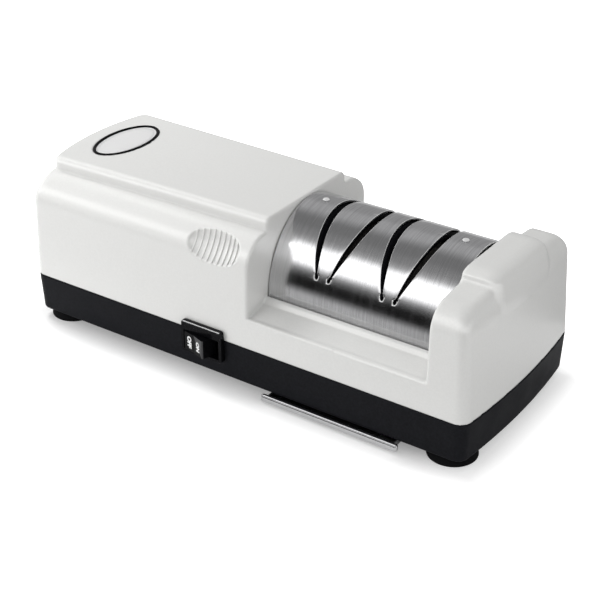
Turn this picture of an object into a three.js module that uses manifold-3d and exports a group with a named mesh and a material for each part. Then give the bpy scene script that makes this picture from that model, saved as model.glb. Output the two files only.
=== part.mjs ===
// Electric knife sharpener with two grinding stages: a moulded body with a motor at one end,
// a slotted steel hood over the wheels and a bearing pillar at the other end.
// Millimetres, +Z up, X along the body with the motor at -X, the switch on the front at -Y.
// The origin is on the table under the middle of the body.
import * as THREE from 'three';
import { mergeVertices } from 'three/addons/utils/BufferGeometryUtils.js';
import Module from 'manifold-3d';

const wasm = await Module();
wasm.setup();

// Body shells
const bodyLength = 270;
const bodyWidth = 108.8;
const footHeight = 5.5;
const baseTaper = 0.8;
const baseEdge = 1;
const baseEdgeShare = 0.3;
const baseHeight = 20.8;
const shoulderRise = 57.2;
const crownRise = 6.9;
const wall = 2.5;
const fitGap = 0.3;
const endBow = 3.5;
const cornerRadius = 5;
const sideDraft = 1;
const motorEndDraft = 1.1;
const pillarEndDraft = 2.6;

// Places and lengths along the body, as shares of its length
const bayLeftShare = 0.0367;
const bayRightShare = 0.4081;
const coarseStageShare = 0.1489;
const fineStageShare = 0.2856;
const rivetInsetShare = 0.0385;
const motorCentreShare = -0.2296;
const stackLengthShare = 0.1333;
const standoffLengthShare = 0.0407;
const fanCentreShare = -0.3963;
const shaftLeftShare = -0.4444;
const pedestalCentreShare = 0.4463;
const bezelCentreShare = -0.0617;
const openingCentreShare = -0.0624;
const gripCentreShare = -0.0393;
const badgeCentreShare = -0.4041;
const trayCentreShare = 0.22;
const trayWidthShare = 0.2704;
const lipLengthShare = 0.2889;
const windowLengthShare = 0.237;
const footXShare = 0.4407;
const rearFootXShare = 0.4204;
const caseScrewXShare = 0.4519;
const ventPitchShare = 0.0204;
const glandXShare = -0.3704;
const capacitorXShare = -0.0296;
const capacitorLengthShare = 0.0889;
const terminalBlockXShare = -0.4;

// Shoulder rounding and the raised crown along the top
const shoulderDrop = 14.5;
const shoulderInset = 13;
const shoulderEndInset = 7.5;
const shoulderCorner = 3.5;
const shoulderSlope = 1.5;
const motorCrownHalf = 32;
const pillarCrownHalf = 25.5;
const motorCrownRound = 3.5;
const pillarCrownRound = 9;
const pillarCrownDrop = 4.8;
const crownValley = 2.2;
const crownRearSpread = 5.6;
const crownCorner = 4.5;
const motorCrownEndRound = 3.5;
const pillarCrownEndRound = 9;

// Knife bay between the motor housing and the pillar
const ledgeHeight = 43.2;
const ledgeInnerHeight = 46;
const ledgeStepHeight = 48.9;
const ledgeRound = 2.4;
const ledgeStepWidth = 3.7;
const shelfHeight = 37.7;
const shelfDepth = 2.2;
const shelfReach = 4.5;

// Slotted steel hood and the guide under it
const hoodHalfWidth = 36;
const hoodFoot = 49.5;
const hoodRise = 39;
const hoodSheet = 0.9;
const hoodGap = 0.6;
const guideThickness = 3;
const slotFloor = 65.2;
const slotHalfGap = 3.5;
const slotLeftTilt = 15.5;
const slotRightTilt = 19;
const slotFootWidth = 0.7;
const slotKneeHeight = 79;
const slotKneeWidth = 3.35;
const slotMouthWidth = 3.8;
const slotEyeRadius = 0.95;
const guideSlotMargin = 0.35;
const rivetRadius = 1.6;
const rivetDome = 0.8;
const domeShoulderShare = 0.65;
const domeRiseShare = 0.7;

// Shaft, wheels and their bearings
const axisHeight = 52;
const shaftRadius = 4;
const runningGap = 0.35;
const wheelRadius = 29;
const wheelThickness = 5;
const wheelRingDepth = 9;
const wheelChamfer = 0.8;
const hubRadius = 9;
const hubLength = 13;
const hubWeb = 3.4;
const spacerRadius = 6.5;
const collarRadius = 7.5;
const collarLength = 5;
const nutAcrossFlats = 13;
const nutThickness = 6.5;
const washerRadius = 8;
const washerThickness = 1.2;
const bushRadius = 7.5;
const bushLength = 9;
const wallHoleRadius = 9;

// Motor
const stackWidth = 68;
const stackHeight = 54;
const stackCorner = 6;
const statorBore = 19.3;
const rotorRadius = 18.6;
const rotorOverhang = 1.5;
const rotorSlots = 16;
const rotorSlotWidth = 1.6;
const rotorSlotDepth = 2.4;
const statorSlots = 8;
const statorSlotWidth = 5;
const statorSlotDepth = 5.6;
const windingReach = 7;
const windingInner = 19.8;
const standoffRadius = 3.8;
const boltInset = 4.5;
const boltRadius = 1.9;
const boltHeadRadius = 3.5;
const boltHeadDepth = 2.4;
const bracketPlate = 3;
const bracketHubRadius = 11;
const bracketFootLength = 15;
const bracketFootWidth = 54;
const bracketFootHeight = 16.8;
const bracketFootPlate = 2.4;
const bracketWebWidth = 34;
const padThickness = 2.4;
const mountSpacing = 44;
const mountPostRadius = 4.6;
const fanRadius = 25;
const fanLength = 12;
const fanHubRadius = 8;
const fanBladeSweep = 26;
const fanBladeThickness = 1.4;
const fanBlades = 9;
const fanBladeShares = [0, 0.35, 0.7, 1];

// Outboard bearing pedestal inside the pillar
const pedestalPlate = 6;
const pedestalHeadRadius = 12;
const pedestalBaseWidth = 32;
const pedestalFootLength = 15;
const pedestalFootPlate = 3;
const pedestalScrewSpacing = 23;
const shaftOverhang = 2;

// Rocker switch on the front
const bezelLength = 25.1;
const bezelMiddle = 23.2;
const bezelHeight = 17.6;
const bezelProud = 2.5;
const bezelRound = 1.2;
const bezelBevel = 1.4;
const bezelBevelDepth = 1;
const openingMiddle = 21.2;
const openingLength = 21.9;
const switchBodyLength = 23.9;
const switchBodyHeight = 14;
const switchBodyDepth = 19;
const rockerHalf = 7.5;
const rockerReach = 12.5;
const rockerHeight = 10.3;
const rockerTilt = 15;
const rockerDish = 0.45;
const rockerEdge = 0.6;
const rockerPivotDepth = 9.7;
const rockerWaist = 4;
const rockerHeel = 2.2;
const rockerHeelHalf = 4.5;
const rockerPinRadius = 1.2;
const rockerPinLength = 0.9;
const terminalLength = 8;
const terminalWidth = 6.3;
const terminalThickness = 0.8;
const terminalSpacing = 8;

// Thumb grip pressed into the shoulder beside the bay
const gripHalfLength = 16.2;
const gripHalfHeight = 10.7;
const gripLow = 66.6;
const gripHigh = 81.6;
const gripInset = 10.4;
const gripDepth = 1.2;
const gripStandOff = 2.6;
const gripRibs = 9;
const gripRibPitch = 3.3;
const gripRibWidth = 0.9;
const gripRibHeight = 0.9;

// Oval badge on the crown, left bare
const badgeHalfLength = 21.8;
const badgeHalfWidth = 11.5;
const badgeRecess = 1.2;
const badgeRing = 1.1;
const badgeThickness = 0.9;

// Sliding dust tray under the wheels
const trayBack = 34;
const trayFloor = 1.9;
const trayRim = 4.7;
const traySheet = 0.8;
const trayFlange = 2.4;
const lipFront = 57.4;
const lipThickness = 2;
const lipHeight = 3.2;
const lipFoot = 1.9;
const runnerGap = 0.5;
const runnerThickness = 2;
const windowWidth = 60;

// Feet, screws, vents and the cord inlet
const footInset = 14.6;
const footRadius = 12.5;
const footWaist = 10.5;
const footRimShare = 0.2;
const footPocketRadius = 5;
const footPocketDepth = 2.4;
const footBossRadius = 5;
const footBossHeight = 17;
const screwRadius = 1.6;
const screwHeadRadius = 3;
const screwHeadDepth = 1.8;
const footScrewLength = 12;
const caseScrewY = 21.5;
const caseBossRadius = 4.4;
const casePocketDepth = 6.5;
const caseScrewLength = 27;
const caseBossTop = 27;
const tongueHeight = 3;
const tongueThickness = 1.2;
const ventCount = 8;
const ventWidth = 2.8;
const ventLength = 40;
const glandHeight = 17;
const glandRadius = 6.5;
const glandFlangeRadius = 8.8;
const glandFlange = 1.8;
const glandNeckRadius = 5;
const glandProud = 6.66;
const glandBore = 3.2;
const glandInner = 3;
const ribHeight = 5;
const ribThickness = 2;
const ribInset = 14;
const capacitorWidth = 12;
const capacitorHeight = 22;
const capacitorY = 24;
const terminalBlockLength = 26;
const terminalBlockWidth = 12;
const terminalBlockHeight = 11;
const terminalBlockClearance = 4.8;
const terminalBlockBore = 2;
const terminalBlockWays = 3;
const strayEdge = 0.8;

// How far a cutting tool runs past the face that it cuts
const overrun = 2;

// Smoothness of curves, in steps
const wheelSteps = 36;
const roundSteps = 20;
const smallSteps = 10;
const gripSteps = 20;
const cornerSteps = 3;
const bowSteps = 4;
const shoulderSteps = 5;
const crownSteps = 2;
const hollowSteps = 2;
const archSteps = 22;
const slotEndSteps = 2;
const hexSides = 6;

// Places and lengths that follow the length of the body
const bayLeft = bodyLength * bayLeftShare;
const bayRight = bodyLength * bayRightShare;
const coarseStage = bodyLength * coarseStageShare;
const fineStage = bodyLength * fineStageShare;
const rivetInset = bodyLength * rivetInsetShare;
const motorCentre = bodyLength * motorCentreShare;
const stackLength = bodyLength * stackLengthShare;
const standoffLength = bodyLength * standoffLengthShare;
const fanCentre = bodyLength * fanCentreShare;
const shaftLeft = bodyLength * shaftLeftShare;
const pedestalCentre = bodyLength * pedestalCentreShare;
const bezelCentre = bodyLength * bezelCentreShare;
const openingCentre = bodyLength * openingCentreShare;
const gripCentre = bodyLength * gripCentreShare;
const badgeCentre = bodyLength * badgeCentreShare;
const trayCentre = bodyLength * trayCentreShare;
const trayWidth = bodyLength * trayWidthShare;
const lipLength = bodyLength * lipLengthShare;
const windowLength = bodyLength * windowLengthShare;
const footX = bodyLength * footXShare;
const rearFootX = bodyLength * rearFootXShare;
const caseScrewX = bodyLength * caseScrewXShare;
const ventPitch = bodyLength * ventPitchShare;
const glandX = bodyLength * glandXShare;
const capacitorX = bodyLength * capacitorXShare;
const capacitorLength = bodyLength * capacitorLengthShare;
const terminalBlockX = bodyLength * terminalBlockXShare;

// Heights and positions that follow from the sizes above
const partingHeight = footHeight + baseHeight;
const shoulderHeight = partingHeight + shoulderRise;
const crownHeight = shoulderHeight + crownRise;
const shoulderStart = shoulderHeight - shoulderDrop;
const halfLength = bodyLength / 2;
const halfWidth = bodyWidth / 2;
const footY = halfWidth - footInset;
const terminalBlockY = footY - footBossRadius - terminalBlockClearance - terminalBlockLength / 2;
const housingFoot = partingHeight + fitGap;
const floorTop = footHeight + wall;
const bowRadius = (halfWidth ** 2 + endBow ** 2) / (2 * endBow);
const stackLeft = motorCentre - stackLength / 2;
const stackRight = motorCentre + stackLength / 2;
const postTop = bracketFootHeight - padThickness - 2 * fitGap;
const slotTilts = { [-1]: slotLeftTilt, 1: slotRightTilt };
const stages = { coarse: coarseStage, fine: fineStage };
const hoodLeft = bayLeft + hoodGap;
const hoodRight = bayRight - hoodGap;
const bayMiddle = (bayLeft + bayRight) / 2;
const sides = { front: -1, back: 1 };

// Colours and finishes
const finishes = {
  whitePlastic: { color: 0xdcdcd8, roughness: 0.45, metalness: 0 },
  blackPlastic: { color: 0x25262a, roughness: 0.55, metalness: 0 },
  glossBlack: { color: 0x17181a, roughness: 0.3, metalness: 0 },
  rubber: { color: 0x101011, roughness: 0.8, metalness: 0 },
  brushedSteel: { color: 0xb4b4b6, roughness: 0.3, metalness: 1 },
  brightSteel: { color: 0xc8c8cc, roughness: 0.2, metalness: 1 },
  laminations: { color: 0x6d7075, roughness: 0.5, metalness: 0.8 },
  copper: { color: 0xa5562c, roughness: 0.4, metalness: 0.9 },
  castAluminium: { color: 0xa6a9ad, roughness: 0.5, metalness: 0.9 },
  bronze: { color: 0x9c7442, roughness: 0.45, metalness: 0.9 },
  coarseGrit: { color: 0x8f5f4d, roughness: 0.95, metalness: 0 },
  fineGrit: { color: 0xd9d4c6, roughness: 0.9, metalness: 0 },
  fanPlastic: { color: 0xc9c5b4, roughness: 0.6, metalness: 0 },
  badgeSilver: { color: 0xcfcfcf, roughness: 0.4, metalness: 0.3 },
  filmBox: { color: 0xd8d2bd, roughness: 0.5, metalness: 0 },
};

const model = new THREE.Group();

// Solids from three.js geometry, and geometry from solids
const toSolid = (geometry) => {
  const bare = geometry.clone();
  bare.deleteAttribute('normal');
  bare.deleteAttribute('uv');
  const merged = mergeVertices(bare);
  const vertProperties = new Float32Array(merged.attributes.position.array);
  const triVerts = new Uint32Array(merged.index.array);
  return new wasm.Manifold(new wasm.Mesh({ numProp: 3, vertProperties, triVerts }));
};

const toGeometry = (solid) => {
  const mesh = solid.getMesh();
  const geometry = new THREE.BufferGeometry();
  geometry.setAttribute('position', new THREE.BufferAttribute(new Float32Array(mesh.vertProperties), 3));
  geometry.setIndex(new THREE.BufferAttribute(new Uint32Array(mesh.triVerts), 1));
  geometry.computeVertexNormals();
  return geometry;
};

const join = (first, ...others) => others.reduce((whole, piece) => whole.add(piece), first);
const cut = (body, ...tools) => tools.reduce((whole, tool) => whole.subtract(tool), body);

const addPart = (name, solid, finish) => {
  const material = new THREE.MeshStandardMaterial(finishes[finish]);
  const mesh = new THREE.Mesh(toGeometry(solid), material);
  mesh.name = name;
  model.add(mesh);
};

// Basic forms: a box between two corners, round bars along each axis, and extrusions
const block = (low, high) => {
  const size = high.map((value, axis) => value - low[axis]);
  const middle = high.map((value, axis) => (value + low[axis]) / 2);
  return toSolid(new THREE.BoxGeometry(...size).translate(...middle));
};

const barX = (radius, from, to, y, z, steps = roundSteps) => {
  const bar = new THREE.CylinderGeometry(radius, radius, to - from, steps);
  return toSolid(bar.rotateZ(-Math.PI / 2).translate((from + to) / 2, y, z));
};

const barY = (radius, from, to, x, z, steps = roundSteps) => {
  const bar = new THREE.CylinderGeometry(radius, radius, to - from, steps);
  return toSolid(bar.translate(x, (from + to) / 2, z));
};

const barZ = (radius, from, to, x, y, steps = roundSteps) => {
  const bar = new THREE.CylinderGeometry(radius, radius, to - from, steps);
  return toSolid(bar.rotateX(Math.PI / 2).translate(x, y, (from + to) / 2));
};

const hexX = (acrossFlats, from, to, y, z) => barX(acrossFlats / Math.sqrt(3), from, to, y, z, hexSides);

const extrude = (points, depth, holes = []) => {
  const shape = new THREE.Shape(points.map(([u, v]) => new THREE.Vector2(u, v)));
  for (const hole of holes) shape.holes.push(new THREE.Path(hole.map(([u, v]) => new THREE.Vector2(u, v))));
  return new THREE.ExtrudeGeometry(shape, { depth, bevelEnabled: false });
};

// An outline in Y and Z drawn out along X, one in X and Z along Y, and one in X and Y along Z
const alongX = (points, from, to, holes) => {
  const turn = new THREE.Matrix4().makeBasis(
    new THREE.Vector3(0, 1, 0), new THREE.Vector3(0, 0, 1), new THREE.Vector3(1, 0, 0));
  return toSolid(extrude(points, to - from, holes).applyMatrix4(turn).translate(from, 0, 0));
};

const alongY = (points, from, to, holes) => {
  const geometry = extrude(points, to - from, holes).rotateX(Math.PI / 2);
  return toSolid(geometry.translate(0, to, 0));
};

const alongZ = (points, from, to, holes) => toSolid(extrude(points, to - from, holes).translate(0, 0, from));

// Round stretches of an outline
const arc = (u, v, radius, startAngle, endAngle, steps) => {
  const points = [];
  for (let step = 0; step <= steps; step += 1) {
    const angle = startAngle + ((endAngle - startAngle) * step) / steps;
    points.push([u + radius * Math.cos(angle), v + radius * Math.sin(angle)]);
  }
  return points;
};

const quarter = Math.PI / 2;

const roundedBox = (halfU, halfV, radius, u = 0, v = 0, steps = cornerSteps) => [
  ...arc(u + halfU - radius, v - halfV + radius, radius, -quarter, 0, steps),
  ...arc(u + halfU - radius, v + halfV - radius, radius, 0, quarter, steps),
  ...arc(u - halfU + radius, v + halfV - radius, radius, quarter, 2 * quarter, steps),
  ...arc(u - halfU + radius, v - halfV + radius, radius, 2 * quarter, 3 * quarter, steps),
];

// A turned piece: radius and station pairs revolved about the X axis through the shaft
const turned = (profile, steps = wheelSteps) => {
  const points = [...profile, profile[0]].map(([radius, station]) => new THREE.Vector2(radius, station));
  const lathe = new THREE.LatheGeometry(points, steps);
  return toSolid(lathe.rotateZ(-Math.PI / 2).translate(0, 0, axisHeight));
};

// A closed skin over rings of points stacked from bottom to top
const loft = (rings) => {
  const count = rings[0].length;
  const geometry = new THREE.BufferGeometry();
  const positions = rings.flat().flatMap((point) => point);
  const indices = [];
  for (let level = 0; level < rings.length - 1; level += 1) {
    for (let step = 0; step < count; step += 1) {
      const next = (step + 1) % count;
      const low = level * count;
      const high = low + count;
      indices.push(low + step, low + next, high + next, low + step, high + next, high + step);
    }
  }
  const contour = rings[0].map(([x, y]) => new THREE.Vector2(x, y));
  const top = (rings.length - 1) * count;
  for (const [a, b, c] of THREE.ShapeUtils.triangulateShape(contour, [])) {
    indices.push(c, b, a, top + a, top + b, top + c);
  }
  geometry.setAttribute('position', new THREE.Float32BufferAttribute(positions, 3));
  geometry.setIndex(indices);
  return toSolid(geometry);
};

// Plan outline of the body: straight sides, rounded corners and gently bowed ends
const endOutline = (half, reach, radius) => {
  const bowCentre = reach - bowRadius;
  const cornerY = half - radius;
  const cornerX = bowCentre + Math.sqrt((bowRadius - radius) ** 2 - cornerY ** 2);
  const meet = Math.atan2(cornerY, cornerX - bowCentre);
  return [
    ...arc(cornerX, -cornerY, radius, -quarter, -meet, cornerSteps),
    ...arc(bowCentre, 0, bowRadius, -meet, meet, bowSteps).slice(1, -1),
    ...arc(cornerX, cornerY, radius, meet, quarter, cornerSteps),
  ];
};

const planRing = (half, leftReach, rightReach, radius, height) => {
  const right = endOutline(half, rightReach, radius);
  const left = endOutline(half, leftReach, radius).map(([x, y]) => [-x, -y]);
  return [...right, ...left].map(([x, y]) => [x, y, height]);
};

const bowDepth = (y) => bowRadius - Math.sqrt(bowRadius ** 2 - y ** 2);

const draftAt = (height) => Math.max(height - partingHeight, 0) / (shoulderStart - partingHeight);

// Lower body of the upper housing up to the shoulder, moved inward by a wall for its hollow
const shoulderBody = (inset, bottom, steps) => {
  const ring = (side, draft, end, radius, height) => planRing(
    halfWidth - side - inset,
    halfLength - draft * motorEndDraft - end - inset,
    halfLength - draft * pillarEndDraft - end - inset,
    Math.max(radius - inset, strayEdge), height);
  const rings = [ring(0, 0, 0, cornerRadius, bottom), ring(0, 0, 0, cornerRadius, partingHeight + strayEdge)];
  const rise = shoulderDrop - shoulderSlope;
  for (let step = 0; step <= steps; step += 1) {
    const angle = (quarter * step) / steps;
    const inwardShare = 1 - Math.cos(angle);
    rings.push(ring(
      sideDraft + shoulderInset * inwardShare,
      1,
      shoulderEndInset * inwardShare,
      cornerRadius + (shoulderCorner - cornerRadius) * inwardShare,
      shoulderStart + rise * Math.sin(angle) - inset));
  }
  rings.push(ring(
    halfWidth - pillarCrownHalf, 1, shoulderEndInset + shoulderSlope, shoulderCorner,
    shoulderHeight - inset));
  return loft(rings);
};

// Raised crown along the top: a riser with a valley at its foot and rounded edges
const crowns = {
  motor: {
    half: motorCrownHalf, left: halfLength, right: bayMiddle, spread: crownRearSpread,
    across: motorCrownRound, down: motorCrownRound, end: motorCrownEndRound,
  },
  pillar: {
    half: pillarCrownHalf, left: -bayMiddle, right: halfLength, spread: 0,
    across: pillarCrownRound, down: pillarCrownDrop, end: pillarCrownEndRound,
  },
};

// Rear half of a crown outline spread outward, more towards the left end
const spreadRear = (points, crown) => points.map(([x, y, height]) => {
  const lean = (bayMiddle - x) / (bayMiddle + halfLength);
  const moved = y + (crown.spread * lean * Math.max(y, 0)) / crown.half;
  return [x - Math.sign(x) * (bowDepth(moved) - bowDepth(y)), moved, height];
});

const crownBody = (crown, inset, steps) => {
  const corner = Math.max(crownCorner - inset, strayEdge);
  const endInset = (height) => {
    const over = Math.max(height - (crownHeight - crown.end), 0);
    return crown.end - Math.sqrt(Math.max(crown.end ** 2 - over ** 2, 0)) + inset + fitGap;
  };
  const ring = (side, height) => spreadRear(planRing(
    crown.half + side - inset,
    crown.left - draftAt(height) * motorEndDraft - endInset(height),
    crown.right - draftAt(height) * pillarEndDraft - endInset(height),
    corner, height - inset), crown);
  const rings = [ring(crownValley, shoulderStart), ring(crownValley, shoulderHeight)];
  const rimStart = crownHeight - crown.down;
  const valley = Math.min(crownValley, rimStart - shoulderHeight);
  for (let step = 1; step <= steps; step += 1) {
    const angle = (quarter * step) / steps;
    rings.push(ring(crownValley * (1 - Math.sin(angle)), shoulderHeight + valley * (1 - Math.cos(angle))));
  }
  for (let step = 1; step <= steps + 1; step += 1) {
    const angle = (quarter * step) / (steps + 1);
    rings.push(ring(-crown.across * (1 - Math.cos(angle)), rimStart + crown.down * Math.sin(angle)));
  }
  return loft(rings);
};

const housingForm = (inset, bottom, sideSteps, topSteps) => join(
  shoulderBody(inset, bottom, sideSteps),
  crownBody(crowns.motor, inset, topSteps),
  crownBody(crowns.pillar, inset, topSteps));

// Section of the knife bay over the ledges, with its inner faces moved down by a wall for the hollow
const bayOutline = (inset) => {
  const outer = halfWidth + overrun;
  const innerFace = hoodHalfWidth + hoodGap;
  const edge = halfWidth - sideDraft;
  const half = [
    [outer, ledgeHeight - ledgeRound - inset],
    [edge, ledgeHeight - ledgeRound - inset],
    ...arc(edge - ledgeRound, ledgeHeight - ledgeRound - inset, ledgeRound, 0, quarter, cornerSteps),
    [innerFace + ledgeStepWidth, ledgeInnerHeight - inset],
    [innerFace + ledgeStepWidth / 2, (ledgeInnerHeight + ledgeStepHeight) / 2 + strayEdge - inset],
    [innerFace, ledgeStepHeight - inset],
  ];
  return half;
};

const baySection = () => {
  const half = bayOutline(0);
  const mirrored = half.map(([y, z]) => [-y, z]);
  const top = crownHeight + overrun;
  const well = partingHeight - overrun;
  const innerFace = hoodHalfWidth + hoodGap;
  return [
    [half[0][0], top], [-half[0][0], top], ...mirrored,
    [-innerFace, well], [innerFace, well], ...half.reverse(),
  ];
};

// Space above the underside of the ledges, kept out of the housing's hollow
const ledgeUnderSection = () => {
  const half = bayOutline(wall);
  const mirrored = half.map(([y, z]) => [-y, z]);
  const top = crownHeight + overrun;
  const skirt = shelfHeight - shelfDepth;
  const rib = hoodHalfWidth + hoodGap + wall;
  const low = half.filter(([y]) => y > rib);
  const lowMirrored = mirrored.filter(([y]) => y < -rib);
  return [
    [low[0][0], top], [-low[0][0], top], ...lowMirrored,
    [-rib, ledgeInnerHeight - wall], [-rib, skirt], [rib, skirt], [rib, ledgeInnerHeight - wall],
    ...low.reverse(),
  ];
};

// Well between the ledges, narrowed at its foot by the shelf that carries the hood and the guide
const shelfWell = () => {
  const narrow = hoodHalfWidth + hoodGap - shelfReach;
  const low = partingHeight - overrun;
  return alongX([[-narrow, low], [narrow, low], [narrow, shelfHeight], [-narrow, shelfHeight]],
    bayLeft, bayRight);
};

// Concave oval thumb grip with upright ribs on its floor
const gripScoop = (side, inset) => {
  const foot = [halfWidth - sideDraft * draftAt(gripLow), gripLow];
  const head = [halfWidth - gripInset, gripHigh];
  const lean = Math.atan2(foot[0] - head[0], head[1] - foot[1]);
  const ball = new THREE.SphereGeometry(1, gripSteps, gripSteps / 2);
  ball.scale(gripHalfLength - inset, gripStandOff + gripDepth - inset, gripHalfHeight - inset);
  ball.rotateX(side * lean);
  ball.translate(
    gripCentre,
    side * ((foot[0] + head[0]) / 2 + gripStandOff * Math.cos(lean)),
    (foot[1] + head[1]) / 2 + gripStandOff * Math.sin(lean));
  return toSolid(ball);
};

const gripTool = (side) => {
  const ribs = [];
  for (let index = 0; index < gripRibs; index += 1) {
    const x = gripCentre + (index - (gripRibs - 1) / 2) * gripRibPitch;
    ribs.push(block(
      [x - gripRibWidth / 2, Math.min(0, side * bodyWidth), partingHeight],
      [x + gripRibWidth / 2, Math.max(0, side * bodyWidth), crownHeight]));
  }
  const floorRibs = join(...ribs).subtract(gripScoop(side, gripRibHeight));
  return cut(gripScoop(side, 0), floorRibs);
};

const badgeOutline = (inset) => {
  const points = [];
  for (let step = 0; step < roundSteps; step += 1) {
    const angle = (4 * quarter * step) / roundSteps;
    points.push([
      badgeCentre + (badgeHalfWidth - inset) * Math.cos(angle),
      (badgeHalfLength - inset) * Math.sin(angle)]);
  }
  return points;
};

const caseCorners = [];
const footCorners = [];
for (const right of [-1, 1]) {
  for (const back of [-1, 1]) {
    caseCorners.push([right * caseScrewX, back * caseScrewY]);
    footCorners.push([right * (back > 0 ? rearFootX : footX), back * footY]);
  }
}

// Upper housing: hollow white shell with the knife bay, ledges, bosses, grips and badge seat
const upperHousing = () => {
  const outer = housingForm(0, housingFoot, shoulderSteps, crownSteps);
  const bayTool = alongX(baySection(), bayLeft, bayRight);
  const shelf = cut(
    block(
      [bayLeft, -(hoodHalfWidth + hoodGap + strayEdge), shelfHeight - shelfDepth],
      [bayRight, hoodHalfWidth + hoodGap + strayEdge, shelfHeight]),
    shelfWell());
  const keepSolid = alongX(ledgeUnderSection(), bayLeft - wall, bayRight + wall);
  const hollow = cut(
    housingForm(wall, partingHeight - overrun, hollowSteps, 1), keepSolid,
    gripScoop(sides.front, -wall), gripScoop(sides.back, -wall));
  let shell = cut(outer, bayTool, hollow).add(shelf);
  const openings = [
    barX(wallHoleRadius, bayLeft - wall - overrun, bayLeft + overrun, 0, axisHeight),
    barX(wallHoleRadius, bayRight - overrun, bayRight + wall + overrun, 0, axisHeight),
    block(
      [bayLeft - wall - overrun, -hoodHalfWidth / 2, partingHeight - overrun],
      [bayLeft + overrun, hoodHalfWidth / 2, shelfHeight - shelfDepth]),
  ];
  shell = cut(shell, ...openings);
  for (const [x, y] of caseCorners) {
    const boss = barZ(caseBossRadius, caseBossTop + fitGap, crownHeight - wall / 2, x, y, smallSteps)
      .intersect(outer);
    const pilot = barZ(
      screwRadius + fitGap, caseBossTop - overrun,
      footHeight + casePocketDepth + caseScrewLength + overrun, x, y, smallSteps);
    shell = cut(shell.add(boss), pilot);
  }
  const switchNotch = block(
    [openingCentre - switchBodyLength / 2 - fitGap, -halfWidth - overrun, partingHeight - overrun],
    [openingCentre + switchBodyLength / 2 + fitGap, -halfWidth + wall + overrun,
      openingMiddle + switchBodyHeight / 2 + fitGap]);
  const seat = alongZ(badgeOutline(-badgeRing - fitGap), crownHeight - badgeRecess, crownHeight + overrun);
  return cut(shell, switchNotch, seat, gripTool(sides.front), gripTool(sides.back));
};

const baseRing = (inset, height) => {
  const half = halfWidth - inset;
  const reach = halfLength - inset;
  return planRing(half, reach, reach, Math.max(cornerRadius - inset / 2, strayEdge), height);
};

// Base: black tray-shaped shell with posts, a window over the dust tray, vents and tray runners
const baseShell = () => {
  const outer = loft([
    baseRing(baseTaper + baseEdge, footHeight),
    baseRing(baseTaper + baseEdge * baseEdgeShare, footHeight + baseEdge * baseEdgeShare),
    baseRing(baseTaper, footHeight + baseEdge),
    baseRing(0, partingHeight),
  ]);
  const inner = loft([
    baseRing(baseTaper + wall, floorTop),
    baseRing(wall, partingHeight + overrun),
  ]);
  const tongueInset = wall + 2 * fitGap;
  const tongue = cut(
    loft([
      baseRing(tongueInset, partingHeight - tongueHeight),
      baseRing(tongueInset, partingHeight + tongueHeight)]),
    loft([
      baseRing(tongueInset + tongueThickness, partingHeight - tongueHeight - overrun),
      baseRing(tongueInset + tongueThickness, partingHeight + tongueHeight + overrun)]));
  const tongueFoot = cut(
    loft([
      baseRing(wall - strayEdge, partingHeight - tongueHeight),
      baseRing(wall - strayEdge, partingHeight - strayEdge)]),
    loft([
      baseRing(tongueInset + tongueThickness, partingHeight - tongueHeight - overrun),
      baseRing(tongueInset + tongueThickness, partingHeight + overrun)]));
  return cut(outer, inner).add(tongue).add(tongueFoot);
};

const mountPlaces = () => {
  const places = [];
  for (const x of [bracketCentre(-1), bracketCentre(1)]) {
    places.push([x, -mountSpacing / 2], [x, mountSpacing / 2]);
  }
  return places;
};

const bracketCentre = (end) => (end < 0 ? stackLeft : stackRight) + end * (standoffLength + bracketPlate / 2);

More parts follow.
